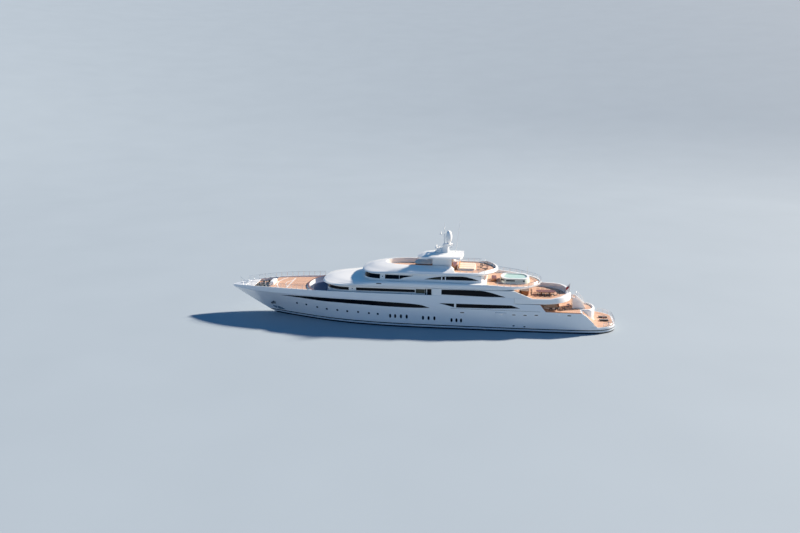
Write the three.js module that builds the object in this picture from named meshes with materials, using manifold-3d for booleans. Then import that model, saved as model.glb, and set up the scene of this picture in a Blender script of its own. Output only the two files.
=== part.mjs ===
// A motor yacht 85 m long, as a 1:10 scale model. Every size below is a real size of the ship in metres;
// the exported group scales it to model millimetres. X points forward, Y to port, Z up.
// The origin is on the waterline, amidships, on the centreline.
import * as THREE from "three";
import { mergeVertices } from "three/addons/utils/BufferGeometryUtils.js";
import Module from "manifold-3d";

const wasm = await Module();
wasm.setup();

// Driving dimensions, in metres of the real ship
const MODEL_RATIO = 10;
const LENGTH = 85;
const KEEL_Z = -3.9;
const SEAT = 0.004; // clearance where one piece rests on another
const TEAK = 0.05; // thickness of deck planking
const GLASS_SINK = 0.05; // how far the glass lies behind the plating
const GLASS_THICK = 0.08;
const FAR = 60; // beyond the ship on any axis

// Levels of the decks
const PLATFORM_Z = 1.35;
const MAIN_DECK_Z = 3.95;
const UPPER_DECK_Z = 6.5;
const HELIDECK_Z = 7.1;
const TERRACE_BASE_Z = 6.2;
const CAP_Z = 7.5;
const BRIDGE_BASE_Z = 8.95;
const BRIDGE_DECK_Z = 9.35;
const BRIDGE_WALL_Z = 10.1;
const SUN_BASE_Z = 11.5;
const SUN_DECK_Z = 11.95;

// Finishes
const finish = (color, roughness, metalness = 0) =>
  new THREE.MeshStandardMaterial({ color, roughness, metalness });
const WHITE = finish(0xe9edf1, 0.3);
const TEAK_WOOD = finish(0xc79a6b, 0.7);
const DARK_GLASS = finish(0x0b0f15, 0.08);
const STEEL = finish(0xb9bec4, 0.25, 1);
const BRONZE = finish(0x9a6b3a, 0.35, 1);
const CUSHION = finish(0xe6dccb, 0.9);
const WATER = finish(0x9fd3c6, 0.1);
const DARK = finish(0x23262b, 0.5);
const RED_CLOTH = finish(0xa8232c, 0.8);

const ship = new THREE.Group();
ship.scale.setScalar(1000 / MODEL_RATIO);

// Solids and meshes

function solidOf(geometry) {
  const bare = geometry.clone();
  bare.deleteAttribute("normal");
  bare.deleteAttribute("uv");
  const merged = mergeVertices(bare, 1e-5);
  const index = [];
  for (let i = 0; i < merged.index.count; i += 3) {
    const [a, b, c] = [0, 1, 2].map((k) => merged.index.getX(i + k));
    if (a !== b && b !== c && a !== c) index.push(a, b, c);
  }
  const triVerts = new Uint32Array(index);
  const vertProperties = new Float32Array(merged.attributes.position.array);
  const solid = new wasm.Manifold(new wasm.Mesh({ numProp: 3, vertProperties, triVerts }));
  if (solid.volume() > 0) return solid;
  for (let i = 0; i < triVerts.length; i += 3) {
    [triVerts[i + 1], triVerts[i + 2]] = [triVerts[i + 2], triVerts[i + 1]];
  }
  return new wasm.Manifold(new wasm.Mesh({ numProp: 3, vertProperties, triVerts }));
}

function add(name, solid, material) {
  const mesh = solid.getMesh();
  const position = new Float32Array(mesh.numVert * 3);
  for (let i = 0; i < mesh.numVert; i++) {
    position.set(mesh.vertProperties.subarray(i * mesh.numProp, i * mesh.numProp + 3), i * 3);
  }
  const geometry = new THREE.BufferGeometry();
  geometry.setAttribute("position", new THREE.BufferAttribute(position, 3));
  geometry.setIndex(new THREE.BufferAttribute(mesh.triVerts, 1));
  geometry.computeVertexNormals();
  const node = new THREE.Mesh(geometry, material);
  node.name = name;
  ship.add(node);
}

const joined = (solids) => solids.reduce((sum, next) => sum.add(next));
const starboard = (solid) => solid.mirror([0, 1, 0]);

// The same piece on both sides of the ship, in two nodes
function addPair(name, solid, material) {
  add(`${name}_port`, solid, material);
  add(`${name}_stbd`, starboard(solid), material);
}

// A solid through closed rings of points, each ring with the same number of points
function loft(rings) {
  const count = rings[0].length;
  const position = rings.flat(2);
  const index = [];
  for (let r = 0; r < rings.length - 1; r++) {
    for (let i = 0; i < count; i++) {
      const [a, b] = [r * count + i, r * count + ((i + 1) % count)];
      index.push(a, b, b + count, a, b + count, a + count);
    }
  }
  for (const [start, ring, last] of [[0, rings[0], false], [(rings.length - 1) * count, rings.at(-1), true]]) {
    const spread = [0, 1, 2].map((k) => {
      const values = ring.map((p) => p[k]);
      return Math.max(...values) - Math.min(...values);
    });
    const across = [0, 1, 2].filter((k) => k !== spread.indexOf(Math.min(...spread)));
    const flat = ring.map((p) => new THREE.Vector2(p[across[0]], p[across[1]]));
    const turned = THREE.ShapeUtils.isClockWise(flat);
    const order = flat.map((_, i) => (turned ? count - 1 - i : i));
    for (const corners of THREE.ShapeUtils.triangulateShape(order.map((i) => flat[i]), [])) {
      const corner = corners.map((k) => start + order[k]);
      index.push(...(last !== turned ? corner : corner.reverse()));
    }
  }
  const geometry = new THREE.BufferGeometry();
  geometry.setAttribute("position", new THREE.BufferAttribute(new Float32Array(position), 3));
  geometry.setIndex(index);
  return solidOf(geometry);
}

// A polygon of [x, z] points, extruded across the ship from y0 to y1
function sidePanel(points, y0, y1) {
  return loft([y0, y1].map((y) => points.map(([x, z]) => [x, y, z])).map((ring) => ring.slice()));
}

const box = (x0, x1, y0, y1, z0, z1) =>
  loft([z0, z1].map((z) => [[x0, y0, z], [x1, y0, z], [x1, y1, z], [x0, y1, z]]));

const cylinder = (radiusTop, radiusBottom, length, sides = 12) =>
  solidOf(new THREE.CylinderGeometry(radiusTop, radiusBottom, length, sides).rotateX(Math.PI / 2));

const post = (x, y, z0, z1, radius, sides = 6) =>
  cylinder(radius, radius, z1 - z0, sides).translate([x, y, (z0 + z1) / 2]);

// A round bar along a smooth line through the points
function bar(points, radius, steps, sides = 6) {
  const path = new THREE.CatmullRomCurve3(points.map((p) => new THREE.Vector3(...p)), false, "centripetal");
  const section = new THREE.Shape();
  for (let i = 0; i < sides; i++) {
    const turn = (i / sides) * 2 * Math.PI;
    const [u, v] = [radius * Math.cos(turn), radius * Math.sin(turn)];
    if (i) section.lineTo(u, v);
    else section.moveTo(u, v);
  }
  return solidOf(new THREE.ExtrudeGeometry(section, { steps, extrudePath: path, bevelEnabled: false }));
}

// Plan outlines: a rounded nose, straight or tapering sides and a rounded tail
const ARC_STEPS = 7;

function planHalf({ aft, fore, beam, beamAft, nose, tail, square, blunt = square }, inset) {
  const [front, back] = [fore - inset, aft + inset];
  const half = [];
  for (let i = 0; i <= ARC_STEPS; i++) {
    const turn = (i / ARC_STEPS) * (Math.PI / 2);
    half.push([
      front - nose + nose * Math.cos(turn) ** (2 / blunt),
      (beam - inset) * Math.sin(turn) ** (2 / blunt),
    ]);
  }
  for (let i = ARC_STEPS; i >= 0; i--) {
    const turn = (i / ARC_STEPS) * (Math.PI / 2);
    half.push([
      back + tail - tail * Math.cos(turn) ** (2 / square),
      (beamAft - inset) * Math.sin(turn) ** (2 / square),
    ]);
  }
  half[0][1] = half.at(-1)[1] = 0;
  return half;
}

// A body stacked from plan outlines; rows hold z, aft, fore, beam, beamAft, nose, tail, square, and blunt
// where the nose's corners are fuller than the tail's
function tiers(rows, inset = 0, lift = () => 0) {
  return loft(
    rows.map(([z, aft, fore, beam, beamAft, nose, tail, square, blunt]) => {
      const half = planHalf({ aft, fore, beam, beamAft, nose, tail, square, blunt }, inset);
      const other = half.slice(1, -1).reverse().map(([x, y]) => [x, -y]);
      return [...half, ...other].map(([x, y]) => [x, y, z + lift(x)]);
    }),
  );
}

// A pane of dark glass let into a body's plating. shell(inset) gives the body at that inset.
function glaze(body, shell, window, y0, y1) {
  const hole = sidePanel(window, y0, y1);
  const rebate = hole.intersect(shell(-0.3)).subtract(shell(GLASS_SINK + GLASS_THICK));
  const middle = [0, 1].map((k) => window.reduce((sum, p) => sum + p[k], 0) / window.length);
  const shrunk = window.map(([x, z]) => {
    const reach = Math.hypot(x - middle[0], z - middle[1]);
    return [x + ((middle[0] - x) * SEAT * 4) / reach, z + ((middle[1] - z) * SEAT * 4) / reach];
  });
  const pane = sidePanel(shrunk, y0, y1)
    .intersect(shell(GLASS_SINK))
    .subtract(shell(GLASS_SINK + GLASS_THICK - SEAT));
  return [body.subtract(rebate), pane];
}

// Hull
// Stations of the hull. keel: lowest point; wl: half breadth at the waterline; full: fullness below it;
// flare: 1 is straight, more is hollow; kn and knZ: half breadth and height of the knuckle;
// cap and capZ: half breadth and height of the rail cap.
// x, keel, wl, full, flare, kn, knZ, cap, capZ
const STATIONS = [
  [42.5, 5.9, 0.0, 1.0, 1.0, 0.32, 6.1, 0.3, 6.4],
  [41.6, 5.3, 0.0, 1.0, 1.0, 0.95, 6.0, 0.95, 6.55],
  [40, 4.35, 0.0, 1.0, 1.0, 1.75, 6.0, 1.8, 6.75],
  [38, 3.15, 0.0, 1.0, 1.1, 2.6, 6.0, 2.7, 6.95],
  [36, 1.95, 0.0, 1.0, 1.15, 3.35, 6.05, 3.5, 7.08],
  [34, 0.8, 0.0, 1.0, 1.2, 4.0, 6.1, 4.15, 7.2],
  [32.4, -0.1, 0.04, 1.2, 1.3, 4.45, 6.12, 4.6, 7.28],
  [31, -3.3, 0.55, 1.4, 1.35, 4.8, 6.15, 4.9, 7.33],
  [28, KEEL_Z, 1.65, 1.5, 1.35, 5.4, 6.18, 5.5, 7.4],
  [24, KEEL_Z, 3.0, 1.8, 1.3, 6.0, 6.2, 6.05, 7.45],
  [19, KEEL_Z, 4.5, 2.1, 1.2, 6.55, 6.2, 6.55, 7.48],
  [12, KEEL_Z, 5.8, 2.6, 1.1, 6.9, 6.2, 6.88, CAP_Z],
  [4, KEEL_Z, 6.5, 3.2, 1.0, 7.0, 6.15, 6.95, CAP_Z],
  [-1, KEEL_Z, 6.6, 3.4, 1.0, 7.0, 5.7, 6.95, CAP_Z],
  [-6, KEEL_Z, 6.65, 3.4, 1.0, 7.0, 5.1, 6.92, CAP_Z],
  [-14, KEEL_Z, 6.65, 3.2, 1.0, 7.0, 5.0, 6.9, CAP_Z],
  [-21, -3.4, 6.6, 2.8, 1.0, 7.0, 4.93, 6.9, CAP_Z],
  [-27, -2.6, 6.5, 2.6, 1.0, 6.95, 4.88, 6.85, CAP_Z],
  [-32, -1.9, 6.35, 2.5, 1.0, 6.85, 4.85, 6.78, CAP_Z],
  [-36, -1.35, 6.15, 2.4, 1.0, 6.65, 4.85, 6.6, CAP_Z],
  [-38.5, -1.05, 5.8, 2.4, 1.0, 6.25, 4.85, 6.2, CAP_Z],
  [-40.3, -0.85, 5.05, 2.4, 1.0, 5.45, 4.85, 5.4, CAP_Z],
  [-41.6, -0.7, 3.85, 2.4, 1.0, 4.2, 4.85, 4.15, CAP_Z],
  [-42.3, -0.6, 2.4, 2.4, 1.0, 2.65, 4.85, 2.6, CAP_Z],
  [-LENGTH / 2, -0.5, 1.0, 2.4, 1.0, 1.1, 4.85, 1.1, CAP_Z],
];
const BOTTOM_STEPS = 7;
const SIDE_STEPS = 4;

function hullRing([x, keel, wl, full, flare, kn, knZ, cap, capZ], inset) {
  const half = [[0, keel]];
  const water = Math.max(0, keel);
  for (let i = 1; i < BOTTOM_STEPS; i++) {
    const turn = (i / BOTTOM_STEPS) * (Math.PI / 2);
    half.push(keel > 0 ? [0, keel] : [wl * Math.sin(turn) ** (2 / full), keel * Math.cos(turn) ** (2 / full)]);
  }
  for (let i = 0; i <= SIDE_STEPS; i++) {
    const rise = i / SIDE_STEPS;
    half.push([wl + (kn - wl) * rise ** flare, water + (knZ - water) * rise]);
  }
  half.push([cap, capZ]);
  const port = half.map(([y, z]) => [x, Math.max(0, y - inset), z]);
  return [...port, ...port.slice(1).reverse().map(([px, y, z]) => [px, -y, z])];
}

const hullShell = (inset) => loft(STATIONS.map((row) => hullRing(row, inset)));

// Value of a column of the station table at x
function station(column, x) {
  const i = Math.max(1, STATIONS.findIndex((row) => row[0] <= x));
  const [a, b] = [STATIONS[i - 1], STATIONS[i]];
  return a[column] + ((b[column] - a[column]) * (a[0] - x)) / (a[0] - b[0]);
}
const capY = (x) => station(7, x);
const capZ = (x) => station(8, x);

// A well sunk from the rail cap to a floor, inside a bulwark
function deckWell(x0, x1, floor, bulwark, steps = 6) {
  const port = [];
  for (let i = 0; i <= steps; i++) {
    const x = x1 + ((x0 - x1) * i) / steps;
    port.push([x, Math.max(0.15, capY(x) - bulwark)]);
  }
  const outline = [...port, ...port.slice().reverse().map(([x, y]) => [x, -y])];
  return loft([floor, 20].map((z) => outline.map(([x, y]) => [x, y, z])));
}

const BULWARK = 0.22;
const SHELL_DOOR = { aft: -19.25, fore: -16.95, low: 1.45, high: 4.2, depth: 1.7, thick: 0.14, gap: 0.05 };
const DOOR_HINGE = { y: 6.965, z: 4.22, radius: 0.045, play: 0.006 };
const HOUSE_AFT = -20.8;
const OPEN_DECK_FORE = -24.6;
const STERN_SLOPE = [[-34.9, 4.6], [-35.8, 4.0], [-37.9, 1.95], [-38.5, PLATFORM_Z]];
const SHAFT = { y: 2.9, z: -2.85, radius: 0.14, bore: 0.147, fore: -22, prop: -34.2 };
const RUDDER = { x: -37.2, y: 2.9, top: -1.42, bottom: -3.6, stock: 0.13, bore: 0.136, stockTop: -0.75 };
const FIN = { x: 2, y: 5.65, z: -2.94, down: 40, gap: 0.12, stock: 0.13, bore: 0.136, inside: 0.6 };
const LOUNGE = { x: 15.6, radius: 9 };

function shellDoorPanel(grow) {
  const { aft, fore, low, high } = SHELL_DOOR;
  const [x0, x1, z0, z1] = [aft - grow, fore + grow, low - grow, high + grow];
  return [[x0, z0], [x1, z0], [x1, z1], [x0, z1]];
}

const HULL_WINDOW = [
  [30.4, 5.48], [28, 5.7], [26.6, 5.78], [22.7, 5.87], [17, 5.84], [11.5, 5.8], [6, 5.65], [2.2, 5.53],
  [-0.9, 5.3], [-3.1, 4.68], [0.6, 4.55], [6, 4.6], [11.5, 4.75], [17, 4.88], [20, 4.93], [23, 5.08],
  [26, 5.3], [28.3, 5.41],
];
const SALOON_WINDOW = [[-5, 5.84], [-20.2, 5.92], [-22.1, 5.3], [-15.5, 5.06], [-8.4, 5.0]];

let hull = hullShell(0).add(box(-33, 27.5, -0.3, 0.3, KEEL_Z - 0.08, -1.2));

// The upper deck well runs round the forward house; its forward end is a round lounge well.
const upperWell = deckWell(-3.9, 24.8, UPPER_DECK_Z, BULWARK, 10);
const loungeWell = post(LOUNGE.x, 0, 0, 20, LOUNGE.radius, 40);
const forwardOfLounge = box(LOUNGE.x, FAR, -FAR, FAR, 0, 20);
const roundWell = upperWell.subtract(forwardOfLounge).add(upperWell.intersect(loungeWell));
const loungeDisc = (radius) => post(LOUNGE.x, 0, 0, 20, radius, 48);
const foredeckWell = deckWell(21, 33.2, HELIDECK_Z, BULWARK, 9).subtract(loungeDisc(LOUNGE.radius + 0.3));
const forepeakWell = deckWell(33.1, 38.9, 6.4, BULWARK);
const mainWell = deckWell(-35.4, OPEN_DECK_FORE, MAIN_DECK_Z, BULWARK);
hull = hull.subtract(roundWell).subtract(foredeckWell).subtract(forepeakWell);

// Aft: the sides stop under the upper terrace, then at the main deck's rail cap, then slope to the platform.
const aftCut = [
  [HOUSE_AFT, TERRACE_BASE_Z], [-26.2, TERRACE_BASE_Z], [-27.4, 4.75], ...STERN_SLOPE,
  [-FAR, PLATFORM_Z], [-FAR, 20], [HOUSE_AFT, 20],
];
hull = hull.subtract(sidePanel(aftCut, -FAR, FAR)).subtract(mainWell);

// The platform lies open between the wings of the hull.
hull = hull.subtract(box(-FAR, -35.3, -6.2, 6.2, PLATFORM_Z, 20));

const hingeBar = (radius, short) =>
  cylinder(radius, radius, SHELL_DOOR.fore - SHELL_DOOR.aft - short, 12)
    .rotate([0, 90, 0])
    .translate([(SHELL_DOOR.fore + SHELL_DOOR.aft) / 2, 0, 0]);

// Boarding lobbies behind the shell doors, and the rudder stocks' bores
for (const side of [1, -1]) {
  const { aft, fore, low, high, depth, thick, gap } = SHELL_DOOR;
  const [y0, y1] = [side * (6.9 - depth), side * FAR].sort((a, b) => a - b);
  hull = hull.subtract(box(aft + 0.1, fore - 0.1, y0, y1, low + 0.1, high - 0.1));
  const lip = sidePanel(shellDoorPanel(gap), Math.min(0, side * FAR), Math.max(0, side * FAR));
  hull = hull.subtract(lip.intersect(hullShell(-0.3)).subtract(hullShell(thick + gap)));
  hull = hull.add(hingeBar(DOOR_HINGE.radius, 0.1).translate([0, side * DOOR_HINGE.y, DOOR_HINGE.z]));
  hull = hull.subtract(post(RUDDER.x, side * RUDDER.y, -4, RUDDER.stockTop, RUDDER.bore, 16));
  const socket = post(0, 0, -0.5, FIN.inside + 0.1, FIN.bore, 16);
  hull = hull.subtract(socket.rotate([side * FIN.down, 0, 0]).translate([FIN.x, side * FIN.y, FIN.z]));
}

// Anchor pockets in the bow
const ANCHOR = { x: 33.1, z: 2.62, y: 1.72 };
const pocket = box(-0.8, 0.8, -0.5, 0.5, -0.45, 0.45);
hull = hull
  .subtract(pocket.rotate([0, 30, -28]).translate([ANCHOR.x, ANCHOR.y + 0.15, ANCHOR.z]))
  .subtract(pocket.rotate([0, 30, 28]).translate([ANCHOR.x, -ANCHOR.y - 0.15, ANCHOR.z]));

const windowSides = [["port", 0, FAR], ["stbd", -FAR, 0]];
const hullPanes = [];
for (const [side, y0, y1] of windowSides) {
  let pane;
  [hull, pane] = glaze(hull, hullShell, HULL_WINDOW, y0, y1);
  hullPanes.push([`hull_window_${side}`, pane]);
  [hull, pane] = glaze(hull, hullShell, SALOON_WINDOW, y0, y1);
  hullPanes.push([`saloon_window_${side}`, pane]);
}

// Stern tubes, shaft brackets and fin housings stand out from the hull.
for (const side of [1, -1]) {
  const tube = cylinder(0.3, 0.3, 9, 12).rotate([0, 90, 0]).translate([-22.5, side * SHAFT.y, SHAFT.z]);
  const hub = cylinder(0.32, 0.32, 1.1, 12).rotate([0, 90, 0]).translate([-33.1, side * SHAFT.y, SHAFT.z]);
  const strutOut = box(-33.5, -32.7, -0.07, 0.07, 0, 2).rotate([-30 * side, 0, 0])
    .translate([0, side * SHAFT.y, SHAFT.z]);
  const strutIn = box(-33.5, -32.7, -0.07, 0.07, 0, 2).rotate([30 * side, 0, 0])
    .translate([0, side * SHAFT.y, SHAFT.z]);
  const bore = cylinder(SHAFT.bore, SHAFT.bore, 12, 16).rotate([0, 90, 0])
    .translate([SHAFT.fore - 6, side * SHAFT.y, SHAFT.z]);
  hull = hull.add(joined([tube, hub, strutOut, strutIn])).subtract(bore);
}
add("hull", hull, WHITE);
for (const [name, pane] of hullPanes) add(name, pane, DARK_GLASS);

// Shell doors, cut from the hull's own plating
const door = sidePanel(shellDoorPanel(0), 0, FAR)
  .intersect(hullShell(0))
  .subtract(hullShell(SHELL_DOOR.thick))
  .subtract(hingeBar(DOOR_HINGE.radius + DOOR_HINGE.play, -0.1).translate([0, DOOR_HINGE.y, DOOR_HINGE.z]));
addPair("boarding_door", door, WHITE);

// Teak planking in each well, set in from the bulwark by a waterway
function planking(x0, x1, floor, waterway, steps) {
  const well = deckWell(x0, x1, floor + SEAT, BULWARK + waterway, steps);
  return well.intersect(box(-FAR, FAR, -FAR, FAR, floor, floor + SEAT + TEAK));
}

const foredeckTeak = planking(21, 33, HELIDECK_Z, 0.2, 9).subtract(loungeDisc(LOUNGE.radius + 0.5));
add("foredeck_planking", foredeckTeak, TEAK_WOOD);
add("main_deck_planking", planking(-34.9, -24.8, MAIN_DECK_Z, 0.15, 4), TEAK_WOOD);

// Upper deck house: a round-nosed house inside the side decks, then the full beam aft of them
// z, aft, fore, beam, beamAft, nose, tail, square, blunt
const UPPER_HOUSE = [
  [UPPER_DECK_Z + SEAT, -3.85, 20.3, 6.15, 6.15, 8, 0.05, 2, 3.2],
  [BRIDGE_BASE_Z - SEAT, -3.85, 20.0, 6.05, 6.05, 8, 0.05, 2, 3.2],
];
const UPPER_AFT = { fore: -3.9, beam: 6.86 };
const upperAftBlock = (inset) => box(HOUSE_AFT, UPPER_AFT.fore, -UPPER_AFT.beam + inset, UPPER_AFT.beam - inset,
  CAP_Z + SEAT, BRIDGE_BASE_Z - SEAT);
const SLIDER = { low: UPPER_DECK_Z + TEAK + 0.06, high: 8.6, width: 1.3, thick: 0.08, off: 0.06, travel: 1.2 };
const headTrack = box(HOUSE_AFT - 0.2, HOUSE_AFT + 0.1, -2.65, 2.65, SLIDER.high + SEAT, SLIDER.high + 0.16);
const UPPER_FORE_WINDOW = [[30, 8.4], [0.2, 8.36], [0.2, 7.75], [30, 7.72]];
const UPPER_AFT_WINDOW = [
  [-5.5, 8.82], [-10.2, 8.9], [-13.6, 8.88], [-15.7, 8.55], [-17.8, 7.97], [-19.1, 7.6], [-14.2, 7.56],
  [-5.5, 7.72],
];
const fashionPlate = [
  [HOUSE_AFT + 0.4, CAP_Z + SEAT], [-24.5, CAP_Z + SEAT], [HOUSE_AFT, BRIDGE_BASE_Z - SEAT],
  [HOUSE_AFT + 0.4, BRIDGE_BASE_Z - SEAT],
];
const foreHouse = (inset) => tiers(UPPER_HOUSE, inset);
let upperHouse = foreHouse(0);
let upperPane;
[upperHouse, upperPane] = glaze(upperHouse, foreHouse, UPPER_FORE_WINDOW, -FAR, FAR);
upperHouse = joined([
  upperHouse,
  upperAftBlock(0),
  box(-4.5, -3.4, -6, 6, CAP_Z + SEAT, BRIDGE_BASE_Z - SEAT),
  headTrack,
]);
for (const side of [1, -1]) {
  const [y0, y1] = [side * (UPPER_AFT.beam - 0.25), side * UPPER_AFT.beam].sort((a, b) => a - b);
  upperHouse = upperHouse.add(sidePanel(fashionPlate, y0, y1));
}
const upperAftPanes = [];
for (const [side, y0, y1] of windowSides) {
  let pane;
  [upperHouse, pane] = glaze(upperHouse, upperAftBlock, UPPER_AFT_WINDOW, y0, y1);
  upperAftPanes.push([`upper_window_${side}`, pane]);
}
add("upper_house", upperHouse, WHITE);
add("upper_window_fore", upperPane, DARK_GLASS);
for (const [name, pane] of upperAftPanes) add(name, pane, DARK_GLASS);

// Bridge deck: slab with a drooping brow round the nose, forward bonnet and the aft terrace's bulwark
const BRIDGE_SLAB = [
  [BRIDGE_BASE_Z, -25.7, 21.1, 6.75, 6.6, 7.3, 9.2, 2, 3],
  [BRIDGE_BASE_Z + 0.2, -26.4, 21.0, 6.85, 6.85, 8.5, 9.6, 2, 2.6],
  [BRIDGE_DECK_Z, -26.6, 20.6, 6.88, 6.88, 9.5, 9.7, 2, 2.2],
  [10.4, -26.8, 20.0, 6.65, 6.65, 9.5, 9.8, 2, 2.2],
];
const BONNET = [
  [BRIDGE_DECK_Z - 0.1, -15, 20.7, 6.86, 6.86, 9.2, 0.1, 2, 2.3],
  [9.6, -15, 19.4, 6.86, 6.84, 10.5, 0.1, 2],
  [9.85, -15, 17.4, 6.8, 6.78, 10.5, 0.1, 2],
  [10.0, -15, 15.4, 6.68, 6.72, 10, 0.1, 2],
  [BRIDGE_WALL_Z, -15, 13.6, 6.5, 6.6, 9, 0.1, 2],
];
const BROW = { low: 8.72, aft: [[-1.2, BRIDGE_BASE_Z], [8, 8.71], [8, 8], [-1.2, 8]] };
const brow = tiers([
  [BROW.low, -1, 20.8, 6.6, 6.6, 7.2, 0.1, 2, 3],
  [BRIDGE_BASE_Z + 0.01, -1, 21.1, 6.75, 6.75, 7.3, 0.1, 2, 3],
]);
const browHollow = tiers([8, 9].map((z) => [z, -FAR, 20.5, 6.4, 6.4, 7.4, 0.1, 2, 3]));
const BRIDGE_WELL = [
  [BRIDGE_DECK_Z, -26.3, -14.9, 6.45, 6.45, 0.05, 9.5, 2],
  [20, -26.3, -14.9, 6.45, 6.45, 0.05, 9.5, 2],
];
const terraceWell = tiers(BRIDGE_WELL);
const TERRACE_EDGE = [[-14.9, BRIDGE_WALL_Z], [-17, 10], [-20.3, 9.76], [-23.5, 9.55], [-FAR, 9.55]];
const terraceTop = [...TERRACE_EDGE, [-FAR, 20], [FAR, 20], [FAR, BRIDGE_DECK_Z], [-14.9, BRIDGE_DECK_Z]];
const bridgeDeck = tiers(BRIDGE_SLAB)
  .subtract(terraceWell)
  .subtract(sidePanel(terraceTop, -FAR, FAR))
  .add(tiers(BONNET))
  .add(brow.subtract(browHollow).subtract(sidePanel(BROW.aft, -FAR, FAR)));
add("bridge_deck", bridgeDeck, WHITE);

const layer = (floor) => box(-FAR, FAR, -FAR, FAR, floor + SEAT, floor + SEAT + TEAK);
add("terrace_planking", tiers(BRIDGE_WELL, 0.15).intersect(layer(BRIDGE_DECK_Z)), TEAK_WOOD);

// Bridge deck house
const BRIDGE_HOUSE = [
  [BRIDGE_WALL_Z + SEAT, -14.9, 11.95, 5.65, 5.45, 5.6, 1.2, 2, 3],
  [SUN_BASE_Z - SEAT, -14.7, 11.6, 5.3, 5.2, 5.4, 1.2, 2, 3],
];
const bridgeHouse = (inset) => tiers(BRIDGE_HOUSE, inset);
const BRIDGE_FORE_WINDOW = [[30, 11.36], [7.5, 11.32], [0.5, 11.2], [2.7, 10.75], [3.6, 10.42], [30, 10.36]];
const BRIDGE_AFT_WINDOW = [
  [-1.6, 10.55], [-4, 11.05], [-6.5, 11.28], [-9.8, 11.36], [-11.9, 11.0], [-13.4, 10.55],
];
let bridge = bridgeHouse(0);
let bridgePane;
[bridge, bridgePane] = glaze(bridge, bridgeHouse, BRIDGE_FORE_WINDOW, -FAR, FAR);
const bridgePanes = [["bridge_window_fore", bridgePane]];
for (const [side, y0, y1] of windowSides) {
  let pane;
  [bridge, pane] = glaze(bridge, bridgeHouse, BRIDGE_AFT_WINDOW, y0, y1);
  bridgePanes.push([`bridge_window_${side}`, pane]);
}
add("bridge_house", bridge, WHITE);
for (const [name, pane] of bridgePanes) add(name, pane, DARK_GLASS);

// Sun deck: a slab, broad shoulders over the bridge and a coaming round the stern end
const SUN_DECK = [
  [SUN_BASE_Z, -16.4, 12.1, 5.6, 5.3, 6.3, 5.2, 2, 3],
  [11.62, -16.8, 12.3, 5.75, 5.6, 6.5, 5.4, 2, 3],
  [11.8, -17.1, 12.15, 5.72, 5.75, 6.8, 5.6, 2, 2.8],
  [12.0, -17.3, 11.8, 5.6, 5.65, 7.2, 5.6, 2, 2.5],
  [12.2, -17.3, 11.3, 5.35, 5.35, 7.5, 5.6, 2, 2.3],
  [12.65, -17.2, 10.0, 4.5, 4.5, 7.0, 5.5, 2, 2.1],
  [13.05, -17.1, 7.8, 3.4, 3.4, 6.0, 5.4, 2],
];
const SUN_TOP = [
  [FAR, 12.2], [11.9, 12.25], [10.5, 12.6], [8, 12.95], [5.5, 13.04], [-7.3, 13.04], [-8.2, 12.2],
  [-13.2, 12.2], [-14.2, 12.55], [-16, 12.55], [-17.3, 12.3], [-FAR, 12.2], [-FAR, 30], [FAR, 30],
];
const SUN_WELLS = [
  [-8.1, 7.3, 3.1, 5.6, 0.05],
  [-16.8, -7.9, 5.0, 0.05, 5.2],
];
const sunWell = (inset) => joined(SUN_WELLS.map(([aft, fore, beam, nose, tail]) =>
  tiers([SUN_DECK_Z, 20].map((z) => [z, aft, fore, beam, beam, nose, tail, 2]), inset)));
add("sun_deck", tiers(SUN_DECK).subtract(sunWell(0)).subtract(sidePanel(SUN_TOP, -FAR, FAR)), WHITE);
const sunTeak = joined([sunWell(0.15), box(-8.4, -7.6, -2.9, 2.9, 10, 20)]);
add("sun_deck_planking", sunTeak.intersect(layer(SUN_DECK_Z)), TEAK_WOOD);

// Hardtop: a crowned roof on two side blocks
// y, z of its upper face, then of its lower face
const ROOF_SECTION = [
  [-3.5, 14.7], [-3.3, 14.95], [-2.5, 15.15], [-1.3, 15.32], [0, 15.4], [1.3, 15.32], [2.5, 15.15],
  [3.3, 14.95], [3.5, 14.7], [3.2, 14.55], [1.6, 14.8], [0, 14.9], [-1.6, 14.8], [-3.2, 14.55],
];
const roofSection = (x, rise) => ROOF_SECTION.map(([y, z]) => [x, y, z + rise]);
const roofPlan = tiers([12, 18].map((z) => [z, -9.8, 0.3, 3.6, 3.6, 4.4, 1.0, 2.2]));
const roofRise = [[-9.8, 0], [-4, 0], [-1.5, -0.22], [0.3, -0.9]];
const deckTop = SUN_DECK_Z + 2 * SEAT + TEAK;
const roofSlot = loft([-10, -9.4].map((x) => ROOF_SECTION.map(([y, z], i) => {
  const shift = i === 0 || i === 8 ? 0 : i < 8 ? -0.12 : 0.1;
  return [x, y * 0.88, z + shift];
})));
let hardtop = loft(roofRise.map(([x, rise]) => roofSection(x, rise))).intersect(roofPlan).subtract(roofSlot);
for (const side of [1, -1]) {
  const [y0, y1] = [side * 2.4, side * 2.85].sort((a, b) => a - b);
  hardtop = hardtop.add(sidePanel([[-7.3, deckTop], [-3.2, deckTop], [-3.2, 14.8], [-7.3, 14.8]], y0, y1));
}
add("hardtop", hardtop, WHITE);

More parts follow.
